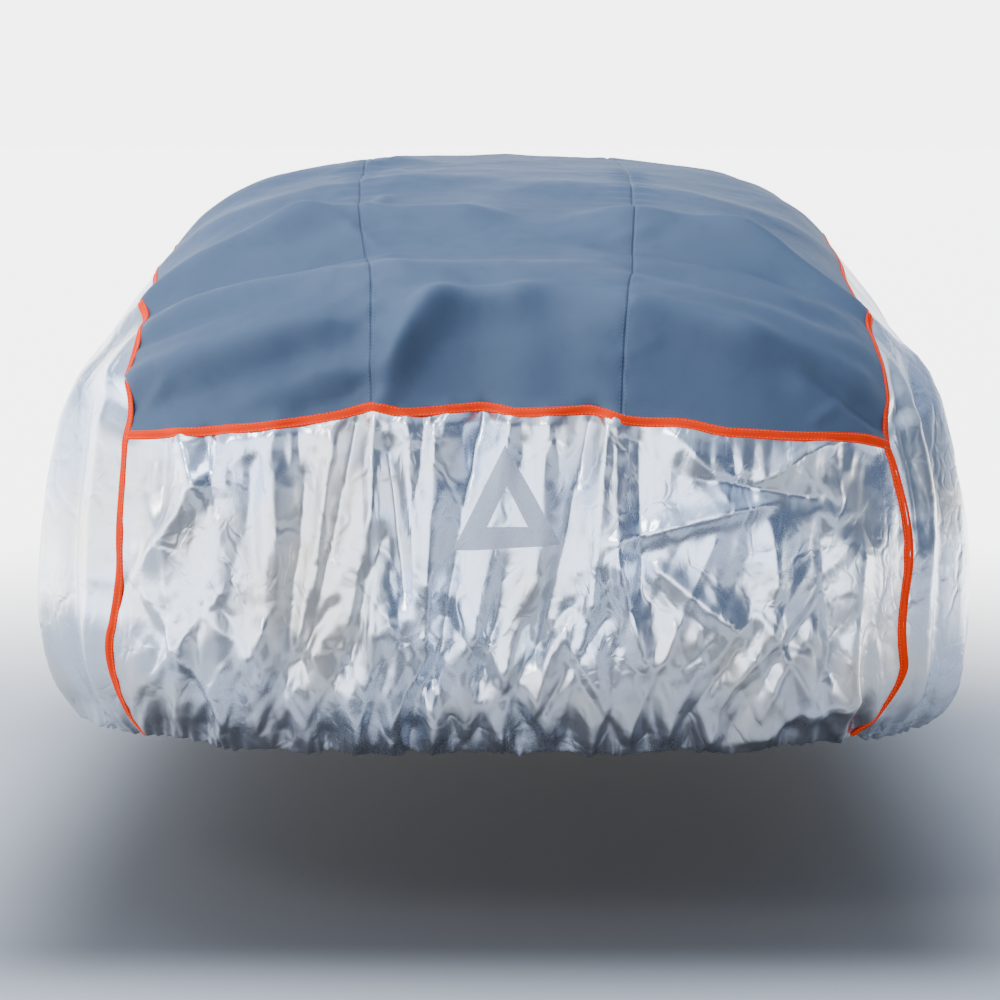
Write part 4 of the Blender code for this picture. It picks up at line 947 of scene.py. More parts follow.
@dataclass
class MeshParts:
    """Points and faces that become one mesh, with a place on the cloth for each point."""

    points: list[Array] = field(default_factory=list)
    cloth_places: list[Array] = field(default_factory=list)
    faces: list[tuple[int, ...]] = field(default_factory=list)
    finishes: list[int] = field(default_factory=list)
    count: int = 0

    def add_points(self, points: Array, places: Array) -> Array:
        """Adds points.

        Args:
            points: The points.
            places: Their places on the cloth.

        Returns:
            Their numbers, in the same shape.
        """
        shape = points.shape[:-1]
        numbers = np.arange(self.count, self.count + int(np.prod(shape))).reshape(shape)
        self.points.append(points.reshape(-1, 3))
        self.cloth_places.append(np.broadcast_to(places, (*shape, 2)).reshape(-1, 2))
        self.count += numbers.size
        return numbers

    def add_grid(self, numbers: Array, outward: bool, finish: int = 0) -> None:
        """Adds the quads of a grid of points.

        Args:
            numbers: The grid's point numbers.
            outward: Whether rows to columns turns the way that points outwards.
            finish: Number of the material that the quads take.
        """
        a, b = numbers[:-1, :-1].ravel(), numbers[:-1, 1:].ravel()
        c, d = numbers[1:, 1:].ravel(), numbers[1:, :-1].ravel()
        quads = np.stack([a, b, c, d] if outward else [d, c, b, a], axis=-1)
        self.faces += [tuple(quad) for quad in quads.tolist()]
        self.finishes += [finish] * len(quads)

    def add_face(self, face: Sequence[int], outward: bool) -> None:
        """Adds one face in the first material."""
        self.faces.append(tuple(int(v) for v in (face if outward else face[::-1])))
        self.finishes.append(0)

    def make(self, name: str, materials: Sequence[Material], smooth: bool = True) -> Piece:
        """Makes the object.

        Args:
            name: The object's name.
            materials: Materials, in the order of the faces' numbers.
            smooth: Whether the faces are shaded smooth.

        Returns:
            The object, linked to the scene.
        """
        mesh = bpy.data.meshes.new(name)
        mesh.from_pydata(np.concatenate(self.points).tolist(), [], self.faces)
        mesh.polygons.foreach_set("material_index", self.finishes)
        layer = mesh.uv_layers.new(name="cloth")
        corners = np.empty(len(mesh.loops), np.int32)
        mesh.loops.foreach_get("vertex_index", corners)
        layer.uv.foreach_set("vector", np.concatenate(self.cloth_places)[corners].ravel())
        for material in materials:
            mesh.materials.append(material)
        mesh.polygons.foreach_set("use_smooth", [smooth] * len(mesh.polygons))
        mesh.update()
        return placed(name, mesh)


@dataclass
class Cloth:
    """One cloth as a fine grid of its outside, from its hem or lower edge upwards."""

    base: Array
    ways: Array
    heights: Array
    thickness: float
    outward: bool
    hem_radius: float = 0.0
    inner_step: tuple[int, int] = (4, 4)
    roll: tuple[float, ...] = (0.8, 0.6, 0.4, 0.2)

    @property
    def outside(self) -> Array:
        """Points of the outside."""
        return self.base + self.ways * self.heights[..., None]

    def cloth_places(self) -> Array:
        """Distances along and across the cloth of each point of the outside, for patterns on it."""
        outside = self.outside
        across = np.linalg.norm(np.diff(outside, axis=1), axis=-1)
        along = np.linalg.norm(np.diff(outside, axis=0), axis=-1)
        u = np.concatenate([np.zeros((len(across), 1)), np.cumsum(across, axis=1)], axis=1)
        v = np.concatenate([np.zeros((1, along.shape[1])), np.cumsum(along, axis=0)])
        return np.stack([u - u.mean(axis=1, keepdims=True), v], axis=-1)

    def hem_rows(self) -> Array:
        """Rows of points that roll the lower edge inwards, from its inner end outwards."""
        edge = self.outside[:2]
        down = unit(edge[0] - edge[1])
        rows = []
        for turn in self.roll:
            angle = math.pi * turn
            sunk = -self.hem_radius * (1 - math.cos(angle)) * self.ways[0]
            rows.append(edge[0] + sunk + self.hem_radius * math.sin(angle) * down)
        return np.array(rows)

    def inside(self) -> Array:
        """Points of the inside, coarser, and below the lowest of the folds round each point."""
        rows, columns = self.inner_step
        lowest = self.heights.copy()
        for axis, reach in ((0, rows), (1, columns)):
            sides = [(reach, reach) if k == axis else (0, 0) for k in (0, 1)]
            padded, count = np.pad(lowest, sides, mode="edge"), lowest.shape[axis]
            starts = range(2 * reach + 1)
            lowest = np.min([np.take(padded, range(k, k + count), axis) for k in starts], axis=0)
        lowest = lowest[::rows, ::columns] - self.thickness
        if self.hem_radius > 0:
            lowest[0] = self.heights[0, ::columns] - 2 * self.hem_radius
        return self.base[::rows, ::columns] + self.ways[::rows, ::columns] * lowest[..., None]

    def build(self, name: str, face_side: Material, back_side: Material) -> Piece:
        """Makes the cloth as a closed layer: fine outside, coarser inside, walls round its edges.

        Args:
            name: The object's name.
            face_side: Material of the outside.
            back_side: Material of the inside.

        Returns:
            The object.
        """
        parts = MeshParts()
        places = self.cloth_places()
        outer = parts.add_points(to_frame(self.outside), places)
        rolled = outer[:0]
        if self.hem_radius > 0:
            rolled = parts.add_points(to_frame(self.hem_rows()), places[0])
        outer = np.concatenate([rolled, outer])
        parts.add_grid(outer, self.outward)
        rows, columns = self.inner_step
        inner = parts.add_points(to_frame(self.inside()), places[::rows, ::columns])
        parts.add_grid(inner, not self.outward, 1)
        self.close_edges(parts, outer, inner, len(rolled))
        return parts.make(name, (face_side, back_side))

    def close_edges(self, parts: MeshParts, outer: Array, inner: Array, extra: int) -> None:
        """Joins the outside to the inside along the four edges.

        Args:
            parts: The mesh so far.
            outer: Point numbers of the outside with its hem's roll.
            inner: Point numbers of the inside.
            extra: Rows of the hem's roll.
        """
        rows, columns = self.inner_step
        for k in range(inner.shape[1] - 1):
            span = slice(k * columns, (k + 1) * columns + 1)
            parts.add_face([*outer[0, span][::-1], inner[0, k], inner[0, k + 1]], self.outward)
            parts.add_face([*outer[-1, span], inner[-1, k + 1], inner[-1, k]], self.outward)
        for m in range(inner.shape[0] - 1):
            first = 0 if m == 0 else extra + m * rows
            span = slice(first, extra + (m + 1) * rows + 1)
            parts.add_face([*outer[span, 0], inner[m + 1, 0], inner[m, 0]], self.outward)
            parts.add_face([*outer[span, -1][::-1], inner[m, -1], inner[m + 1, -1]], self.outward)


@dataclass
class StripSampler:
    """Reads the strip's control grid at fine places and raises its folds there."""

    strip: Strip
    folds: CoverFolds

    def read(self, rows: Array, columns: Array, lift: float) -> tuple[Array, Array, Array, Array]:
        """Samples a part of the strip.

        Args:
            rows: Fractional row numbers.
            columns: Fractional column numbers.
            lift: Height of the cloth's outside over its folds.

        Returns:
            Points and unit normals of the form, the outside's heights and the rows' distances.
        """
        along = spline_weights(self.strip.rows + 1, rows)
        across = spline_weights(self.strip.columns + 1, columns)
        base = np.einsum("ra,abk,cb->rck", along, self.strip.points, across)
        normals = unit(np.einsum("ra,abk,cb->rck", along, self.strip.normals, across))
        path = (along @ self.strip.path)[:, None]
        return base, normals, self.folds.strip_heights(base, path) + lift, path

    def seam_heights(self, base: Array, path: Array) -> Array:
        """Heights of the folds at places on the strip's edge."""
        return self.folds.strip_heights(base[:, None], path[:, None])[:, 0]


FILM_LIFT = 0.002
FOAM_LIFT = 0.0055
FILM_THICKNESS = 0.003
FOAM_THICKNESS = 0.0055
HEM_RADIUS = 0.0024


@dataclass
class FoilEndPanel:
    """A gathered silver end panel between the two side seams and a cross seam."""

    name: str
    sampler: StripSampler
    near: bool
    row_parts: int
    column_parts: int
    flat: Pair
    area: float

    def cloth(self) -> Cloth:
        """Samples the panel from its hem to its cross seam."""
        strip = self.sampler.strip
        rows = finer([(strip.end_rows, self.row_parts)])
        if not self.near:
            rows = strip.rows - rows
        columns = finer([(strip.columns, self.column_parts)])
        base, ways, heights, _ = self.sampler.read(rows, columns, FILM_LIFT)
        return Cloth(base, ways, heights, FILM_THICKNESS, self.near, HEM_RADIUS)

    def build(self, film: Material, lining: Material) -> tuple[Piece, Cloth]:
        """Makes the panel and stands it for its CAD node.

        Args:
            film: Material of the outside.
            lining: Material of the inside.

        Returns:
            The panel and its cloth.
        """
        cloth = self.cloth()
        panel = cloth.build("film_" + self.name, film, lining)
        finish_piece(panel, (self.name,))
        return panel, cloth


@dataclass
class FoamWidth:
    """One width of the padded top, sewn to its neighbours and drawn down along its seams."""

    name: str
    sampler: StripSampler
    place: int
    flat: Pair
    column_parts: int = 5
    seam_depth: float = 0.0018
    seam_run: float = 0.007
    bound_share: float = 0.6
    pucker_depth: float = 0.0034
    pucker_reach: float = 0.035
    pucker_pitch: float = 0.052
    stitched_run: float = 0.006

    def rows(self) -> Array:
        """Fine rows from the near cross seam to the far one."""
        strip = self.sampler.strip
        steps = [(strip.fans, 6), (8, 10), (1, 12), (13, 8), (strip.fans, 4)]
        return finer(steps, strip.end_rows)

    def cloth(self) -> Cloth:
        """Samples the width, with its edges drawn down into the seams."""
        strip = self.sampler.strip
        columns = finer([(strip.width_cells, self.column_parts)], self.place * strip.width_cells)
        base, ways, heights, path = self.sampler.read(self.rows(), columns, FOAM_LIFT)
        heights += self.seam_relief(base, path)
        return Cloth(base, ways, heights, FOAM_THICKNESS, True, 0.0, (2, 2))

    def seam_relief(self, points: Array, path: Array) -> Array:
        """Measures the lengthwise seams: a drawn-in valley with puckers beside it.

        Args:
            points: Places on the form.
            path: Distances of their rows from the near cross seam.

        Returns:
            Heights to add to those of the cloth.
        """
        total = np.zeros(points.shape[:2])
        for edge, seam in ((0, self.place), (-1, self.place + 1)):
            away = np.linalg.norm(points - points[:, edge][:, None], axis=-1)
            sewn = 0 < seam < 3
            depth = self.seam_depth if sewn else self.bound_share * self.seam_depth
            total -= depth * np.exp(-((away / self.seam_run) ** 1.4))
            if sewn:
                phase = 5.0 * np.sin(path * 3.1 + seam)
                phase = phase + 2.0 * np.sin(path * 11.0 + 2 * seam + edge)
                wave = np.sin(2 * math.pi * path / self.pucker_pitch + phase)
                wave = wave * (0.6 + 0.4 * np.sin(path * 5.3 + seam))
                fade = np.exp(-((away / self.pucker_reach) ** 1.5))
                fade = fade * (1 - np.exp(-away / self.stitched_run))
                total += self.pucker_depth * wave * fade
        ends = np.minimum(path - path[0], path[-1] - path)
        return total - 0.5 * self.seam_depth * np.exp(-((ends / self.seam_run) ** 1.4))

    def build(self, foam: Material, lining: Material) -> tuple[Piece, Cloth]:
        """Makes the width and stands it for its CAD node.

        Args:
            foam: Material of the outside.
            lining: Material of the inside.

        Returns:
            The width and its cloth.
        """
        cloth = self.cloth()
        width = cloth.build("foam_" + self.name, foam, lining)
        finish_piece(width, (self.name,))
        return width, cloth


@dataclass
class FoilSidePanel:
    """A silver side panel that wraps round both corners of the cover."""

    name: str
    sampler: StripSampler
    sign: int
    flat: Pair
    area: float
    seam_run: float = 0.14

    def places(self, grid: SideGrid) -> tuple[Array, Array]:
        """Fine places along the panel and up it."""
        steps = [(7, 6), (8, 10), (1, 12), (13, 12), (7, 4)]
        return finer(steps), finer([(grid.rows, 4)])

    def cloth(self) -> Cloth:
        """Samples the panel, whose folds run into those of the strip along its seams."""
        strip = self.sampler.strip
        grid = SideGrid(strip, self.sign)
        i, j = self.places(grid)
        along, up = spline_weights(grid.length + 1, i), spline_weights(grid.rows + 1, j)
        base = np.einsum("ia,abk,jb->ijk", along, grid.points, up)
        normals = unit(np.einsum("ia,abk,jb->ijk", along, grid.normals, up))
        steps = np.linalg.norm(np.diff(base, axis=0), axis=-1)
        run = np.concatenate([np.zeros((1, len(j))), np.cumsum(steps, axis=0)])
        around = self.sign * (np.abs(base[None, 0, :, 0]) + run)
        rise = base[..., 2] - grid.hem.at(base[..., 1])
        own = self.sampler.folds.side_heights(base, around, rise)
        near, top, far = grid.edges(strip.path)
        fades, gaps = [], []
        for axis, at, path in ((0, 0, up @ near), (1, -1, along @ top), (0, -1, up @ far)):
            line = np.take(base, [at], axis)
            gap = self.sampler.seam_heights(np.squeeze(line, axis), path)
            gap = gap - np.squeeze(np.take(own, [at], axis), axis)
            away = np.linalg.norm(base - line, axis=-1)
            fades.append(np.exp(-((away / self.seam_run) ** 1.6)))
            gaps.append(np.expand_dims(gap, axis))
        weight = np.maximum(fades[0], np.maximum(fades[1], fades[2]))
        shares = [fade**6 + 1e-12 for fade in fades]
        mixed = sum(share * gap for share, gap in zip(shares, gaps)) / sum(shares)
        heights = (own + weight * mixed + FILM_LIFT).T
        base, ways = base.transpose(1, 0, 2), normals.transpose(1, 0, 2)
        return Cloth(base, ways, heights, FILM_THICKNESS, self.sign > 0, HEM_RADIUS, (4, 3))

    def build(self, film: Material, lining: Material) -> tuple[Piece, Cloth]:
        """Makes the panel and stands it for its CAD node.

        Args:
            film: Material of the outside.
            lining: Material of the inside.

        Returns:
            The panel and its cloth.
        """
        cloth = self.cloth()
        panel = cloth.build("film_" + self.name, film, lining)
        finish_piece(panel, (self.name,))
        return panel, cloth


def finish_piece(piece: Piece, nodes: Sequence[str] = ()) -> None:
    """Rides a piece on the cover's one body and stands it for its CAD nodes."""
    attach(piece, "root")
    if nodes:
        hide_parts(*nodes)


class ClothBed:
    """The outsides of all the cloths, on which tapes, stitches and the patch are laid."""

    def __init__(self, cloths: Sequence[Cloth]) -> None:
        """Gathers the cloths' fine grids into one tree of faces.

        Args:
            cloths: The cloths to lay things on.
        """
        points, faces, count = [], [], 0
        for cloth in cloths:
            rows, columns = cloth.outside.shape[:2]
            numbers = np.arange(count, count + rows * columns).reshape(rows, columns)
            a, b, c, d = numbers[:-1, :-1], numbers[:-1, 1:], numbers[1:, 1:], numbers[1:, :-1]
            faces.append(np.stack([a, b, c, d], axis=-1).reshape(-1, 4))
            points.append(cloth.outside.reshape(-1, 3))
            count += rows * columns
        corners = np.concatenate(points).tolist()
        self.tree = BVHTree.FromPolygons(corners, np.concatenate(faces).tolist())

    def heights(self, points: Array, ways: Array, reach: float = 0.035) -> Array:
        """Finds how far the cloth's outside lies along the given ways.

        Args:
            points: Places near the cloth.
            ways: Unit directions out of the cloth.
            reach: How far to look to each side.

        Returns:
            Signed distances along the ways; NaN where there is no cloth.
        """
        shape = points.shape[:-1]
        found = []
        starts = (points + ways * reach).reshape(-1, 3).tolist()
        for point, way in zip(starts, ways.reshape(-1, 3).tolist()):
            _, _, _, distance = self.tree.ray_cast(point, (-way[0], -way[1], -way[2]), 2 * reach)
            found.append(math.nan if distance is None else reach - distance)
        return np.array(found).reshape(shape)


def smoothed(values: Array, reach: int) -> Array:
    """Averages values along their first axis over a reach to each side."""
    padded = np.pad(values, [(reach, reach)] + [(0, 0)] * (values.ndim - 1), mode="edge")
    return np.mean([padded[k : k + len(values)] for k in range(2 * reach + 1)], axis=0)


@dataclass
class SeamLine:
    """A seam's fine points on the form with the ways out of the form."""

    points: Array
    ways: Array
    spike_reach: int = 4
    spike_limit: float = 0.003
    samples: int = 12

    @classmethod
    def read(cls, points: Array, ways: Array, step: float) -> SeamLine:
        """Samples a line of control points evenly.

        Args:
            points: Control points along the seam.
            ways: The form's normals there.
            step: Distance between the samples.

        Returns:
            The seam.
        """
        ends = (0, len(points) - 1)
        fine = spline_weights(len(points), np.linspace(*ends, cls.samples * len(points)))
        share = line_shares(fine @ points)
        count = int(np.linalg.norm(np.diff(fine @ points, axis=0), axis=1).sum() / step)
        even = np.linspace(0, 1, count + 1)
        places = np.interp(even, share, np.linspace(*ends, len(share)))
        weights = spline_weights(len(points), places)
        return cls(weights @ points, unit(weights @ ways))

    def side_ways(self) -> Array:
        """Unit directions across the seam, in the form's surface."""
        return unit(np.cross(unit(np.gradient(self.points, axis=0)), self.ways))

    def beside(self, bed: ClothBed, offset: Array | float, lift: float, calm: int) -> Array:
        """Points at an offset from the seam, laid on the cloths.

        Args:
            bed: The cloths.
            offset: Distance to the side.
            lift: Height over the cloths.
            calm: How far, in samples, bumps of the cloth are evened out.

        Returns:
            The points.
        """
        points = self.points + self.side_ways() * np.broadcast_to(offset, len(self.points))[:, None]
        heights = bed.heights(points, self.ways)
        good = ~np.isnan(heights)
        heights = np.interp(np.arange(len(heights)), np.flatnonzero(good), heights[good])
        padded = np.pad(heights, self.spike_reach, mode="reflect")
        starts = range(2 * self.spike_reach + 1)
        middle = np.median([padded[k : k + len(heights)] for k in starts], axis=0)
        heights = np.clip(heights, middle - self.spike_limit, middle + self.spike_limit)
        eased = smoothed(smoothed(heights, calm), calm)
        heights = smoothed(np.maximum(eased, heights), max(1, calm // 2))
        return points + self.ways * (heights + lift)[:, None]


@dataclass
class Binding:
    """Orange tape folded over a seam and sewn down along its two edges."""

    name: str
    line: SeamLine
    turned_under: bool
    half_width: float = 0.0086
    thickness: float = 0.0011
    lift: float = 0.0016
    calm: int = 3
    waver: float = 0.0008
    sway: tuple[Pair, ...] = ((21.0, 1.0), (0.6, 47.0))
    # place across the tape and share of the lift
    rows: tuple[Pair, ...] = (
        (-1.0, 0.15), (-0.86, 0.75), (-0.65, 1.0), (-0.43, 1.0), (-0.21, 1.0), (0.0, 1.0),
        (0.21, 1.0), (0.43, 1.0), (0.65, 1.0), (0.86, 0.75), (1.0, 0.15),
    )
    # how far each added row lies past the tape's end, and above the cloth
    end_turn: tuple[Pair, ...] = (
        (0.0035, -0.0012), (0.0045, -0.0042), (0.002, -0.0068),
    )

    def build(self, bed: ClothBed, tape: Material) -> Piece:
        """Lays the tape on the cloths and stands it for its CAD node.

        Args:
            bed: The cloths that the tape is sewn to.
            tape: The tape's material.

        Returns:
            The tape.
        """
        run = run_along(self.line.points)
        (slow, start), (share, quick) = self.sway
        sway = self.waver * (np.sin(run * slow + start) + share * np.sin(run * quick))
        middle = self.line.beside(bed, sway, 0.0, self.calm)
        strips = []
        for row, share in self.rows:
            aside = sway + row * self.half_width
            strips.append(self.line.beside(bed, aside, self.lift * share, self.calm))
        strips = self.drawn_over(strips)
        under = [strips[k] - self.line.ways * self.thickness for k in (-1, 0)]
        ring = np.stack([*strips, *under], axis=1)
        if self.turned_under:
            ring = self.turn_ends(ring, middle)
        parts = MeshParts()
        around = run_along(ring[len(ring) // 2])
        length = run_along(ring[:, len(self.rows) // 2])
        places = np.stack(np.broadcast_arrays(around[None, :], length[:, None]), axis=-1)
        numbers = parts.add_points(to_frame(ring), places)
        parts.add_grid(np.concatenate([numbers, numbers[:, :1]], axis=1), True)
        parts.add_face(numbers[0][::-1], True)
        parts.add_face(numbers[-1], True)
        made = parts.make(self.name, (tape,))
        turn_outward(made)
        finish_piece(made, (self.name,))
        flat = (2 * self.half_width, float(length[-1]))
        LOG.info("%s: %.2f m of tape", self.name, length[-1])
        return made

    def drawn_over(self, strips: list[Array]) -> list[Array]:
        """Raises each strip to the mean height of its neighbours, so that no hollow cuts in.

        Args:
            strips: Points of the tape's rows.

        Returns:
            The raised rows.
        """
        line = self.line
        heights = [np.einsum("ij,ij->i", strip - line.points, line.ways) for strip in strips]
        raised = strips[:1]
        for k in range(1, len(strips) - 1):
            short = np.maximum((heights[k - 1] + heights[k + 1]) / 2 - heights[k], 0.0)
            raised.append(strips[k] + line.ways * short[:, None])
        return [*raised, strips[-1]]

    def turn_ends(self, ring: Array, middle: Array) -> Array:
        """Takes the tape round the hem at both ends.

        Args:
            ring: Points round the tape at each place along it.
            middle: Points along its middle.

        Returns:
            The ring with its added ends.
        """
        turned = []
        for end, inner in ((0, 1), (-1, -2)):
            out = unit(middle[end] - middle[inner])
            way = self.line.ways[end]
            turned.append([ring[end] + out * a + way * b for a, b in self.end_turn])
        return np.concatenate([turned[0][::-1], ring, turned[1]])


def turn_outward(made: Piece) -> None:
    """Points a closed piece's faces outwards."""
    mesh = bmesh.new()
    mesh.from_mesh(made.data)
    bmesh.ops.recalc_face_normals(mesh, faces=mesh.faces)
    mesh.to_mesh(made.data)
    mesh.free()


class StitchTree:
    """The node tree that sets stitches along lines."""

    def __init__(self, thread: Material) -> None:
        """Builds the tree.

        Args:
            thread: Material of the stitches.
        """
        self.tree = bpy.data.node_groups.new("stitches", "GeometryNodeTree")
        face = self.tree.interface
        face.new_socket("Geometry", in_out="INPUT", socket_type="NodeSocketGeometry")
        self.sizes = {}
        for name, value in (("Pitch", 0.006), ("Length", 0.0021), ("Radius", 0.0006)):
            socket = face.new_socket(name, in_out="INPUT", socket_type="NodeSocketFloat")
            socket.default_value = value
            self.sizes[name] = socket.identifier
        face.new_socket("Geometry", in_out="OUTPUT", socket_type="NodeSocketGeometry")
        start, end = self.add("NodeGroupInput"), self.add("NodeGroupOutput")
        curve = self.add("GeometryNodeMeshToCurve")
        spaced = self.add("GeometryNodeResampleCurve", mode="LENGTH")
        tangent = self.add("GeometryNodeInputTangent")
        turn = self.add("FunctionNodeAlignRotationToVector", axis="X")
        ball = self.add("GeometryNodeMeshIcoSphere")
        size = self.add("ShaderNodeCombineXYZ")
        sown = self.add("GeometryNodeInstanceOnPoints")
        real = self.add("GeometryNodeRealizeInstances")
        coat = self.add("GeometryNodeSetMaterial")
        ball.inputs["Radius"].default_value = 1.0
        coat.inputs["Material"].default_value = thread
        for giver, out, taker, into in (
            (start, "Geometry", curve, "Mesh"), (curve, "Curve", spaced, "Curve"),
            (start, "Pitch", spaced, "Length"), (tangent, 0, turn, "Vector"),
            (start, "Length", size, "X"), (start, "Radius", size, "Y"),
            (start, "Radius", size, "Z"), (spaced, "Curve", sown, "Points"),
            (ball, "Mesh", sown, "Instance"), (turn, "Rotation", sown, "Rotation"),
            (size, 0, sown, "Scale"), (sown, "Instances", real, "Geometry"),
            (real, "Geometry", coat, "Geometry"), (coat, "Geometry", end, "Geometry"),
        ):
            self.tree.links.new(giver.outputs[out], taker.inputs[into])

    def add(self, kind: str, **settings: str) -> bpy.types.Node:
        """Adds one node with its settings."""
        node = self.tree.nodes.new(kind)
        for name, value in settings.items():
            setattr(node, name, value)
        return node

    def sew(self, name: str, lines: Sequence[Array], sizes: dict[str, float], slot: str) -> Piece:
        """Sets stitches along lines of points and makes them a plain mesh.

        Args:
            name: Name of the stitches.
            lines: Lines of points.
            sizes: Values of the tree's named inputs.
            slot: Not used.

        Returns:
            The stitches.
        """
        points, edges, count = [], [], 0
        for line in lines:
            points.append(to_frame(line))
            edges += [(count + k, count + k + 1) for k in range(len(line) - 1)]
            count += len(line)
        mesh = bpy.data.meshes.new(name + "_lines")
        mesh.from_pydata(np.concatenate(points).tolist(), edges, [])
        guide = placed(name + "_lines", mesh)
        modifier = guide.modifiers.new("stitches", "NODES")
        modifier.node_group = self.tree
        for key, value in sizes.items():
            modifier[self.sizes[key]] = value
        graph = bpy.context.evaluated_depsgraph_get()
        mesh = bpy.data.meshes.new_from_object(guide.evaluated_get(graph), depsgraph=graph)
        bpy.data.objects.remove(guide)
        made = placed(name, mesh)
        made.data.polygons.foreach_set("use_smooth", [True] * len(made.data.polygons))
        finish_piece(made)
        LOG.info("%s: %d faces", name, len(made.data.polygons))
        return made


@dataclass
class ReflectiveTriangle:
    """A flat reflective patch with a triangular hole, welded to the near end panel."""

    outer: tuple[Pair, ...] = ((0.009, 0.938), (0.108, 0.762), (-0.083, 0.751))
    inner: tuple[Pair, ...] = ((0.012, 0.866), (0.049, 0.794), (-0.023, 0.794))
    lift: float = 0.0011
    thickness: float = 0.0009
    start: float = -0.04
    reach: float = 0.16
    along: int = 30
    across: int = 9
    calm: int = 2

    def build(self, bed: ClothBed, patch: Material) -> Piece:
        """Lays the patch on the film and stands it for its CAD node.

        Args:
            bed: The cloths.
            patch: The patch's material.

        Returns:
            The patch.
        """
        t = np.linspace(0, 1, self.along, endpoint=False)[:, None]
        rings = []
        for corners in (self.inner, self.outer):
            sides = zip(corners, corners[1:] + corners[:1])
            loop = [np.array(a) * (1 - t) + np.array(b) * t for a, b in sides]
            rings.append(np.concatenate(loop))
        s = np.linspace(0, 1, self.across)[None, :, None]
        flat = rings[0][:, None] * (1 - s) + rings[1][:, None] * s
        ahead = np.full(flat.shape[:2], self.start)
        start = np.stack([flat[..., 0], ahead, flat[..., 1]], axis=-1)
        depth = -bed.heights(start, np.broadcast_to([0.0, -1.0, 0.0], start.shape), self.reach)
        eased = depth
        for _ in range(self.calm):
            eased = (2 * eased + np.roll(eased, 1, axis=0) + np.roll(eased, -1, axis=0)) / 4
            eased[:, 1:-1] = (2 * eased[:, 1:-1] + eased[:, :-2] + eased[:, 2:]) / 4
        depth = np.minimum(eased, depth)
        front = start + np.array([0.0, 1.0, 0.0]) * (depth - self.lift)[..., None]
        back = front + np.array([0.0, self.thickness, 0.0])
        section = np.concatenate([front, back[:, ::-1]], axis=1)
        parts = MeshParts()
        numbers = parts.add_points(to_frame(section), np.concatenate([flat, flat[:, ::-1]], axis=1))
        numbers = np.concatenate([numbers, numbers[:1]])
        parts.add_grid(np.concatenate([numbers, numbers[:, :1]], axis=1), True)
        made = parts.make("reflective_patch", (patch,), smooth=False)
        turn_outward(made)
        finish_piece(made, ("reflective_triangle",))
        return made


# ---- Finishes ----

Colour = tuple[float, float, float, float]
BLACK: Colour = (0.0, 0.0, 0.0, 1.0)


def colour(red: float, green: float, blue: float) -> Colour:
    """Turns a colour as the eye sees it into linear light.

    Args:
        red: Red, from 0 to 255.
        green: Green, from 0 to 255.
        blue: Blue, from 0 to 255.

    Returns:
        The colour in linear light.
    """
    shares = [value / 255 for value in (red, green, blue)]
    return (*(v / 12.92 if v <= 0.04045 else ((v + 0.055) / 1.055) ** 2.4 for v in shares), 1.0)


class Wire:
    """A shader socket on which sums can be written."""

    def __init__(self, nodes: ShaderNodes, socket: bpy.types.NodeSocket) -> None:
        """Wraps a socket.

        Args:
            nodes: The node maker of the socket's tree.
            socket: The socket.
        """
        self.nodes, self.socket = nodes, socket

    def maths(self, operation: str, *values: Wire | float) -> Wire:
        """Adds one Math node on this socket and others."""
        sockets = dict(enumerate((self, *values)))
        return self.nodes.add("ShaderNodeMath", {"operation": operation}, sockets)

    def __add__(self, other: Wire | float) -> Wire:
        """Adds."""
        return self.maths("ADD", other)

    __radd__ = __add__

    def __mul__(self, other: Wire | float) -> Wire:
        """Multiplies."""
        return self.maths("MULTIPLY", other)

    __rmul__ = __mul__

    def __sub__(self, other: Wire | float) -> Wire:
        """Takes away."""
        return self.maths("SUBTRACT", other)

    def __rsub__(self, other: float) -> Wire:
        """Takes this socket away from a number."""
        return self * -1.0 + other

    def __pow__(self, other: float) -> Wire:
        """Raises to a power."""
        return self.maths("POWER", other)

    def sine(self) -> Wire:
        """Returns the sine."""
        return self.maths("SINE")

    def size(self) -> Wire:
        """Returns the value without its sign."""
        return self.maths("ABSOLUTE")

    def between(self, low: float, high: float) -> Wire:
        """Eases from 0 at the low value to 1 at the high one."""
        settings = {"interpolation_type": "SMOOTHSTEP"}
        return self.nodes.add("ShaderNodeMapRange", settings, {0: self, 1: low, 2: high}, 0)


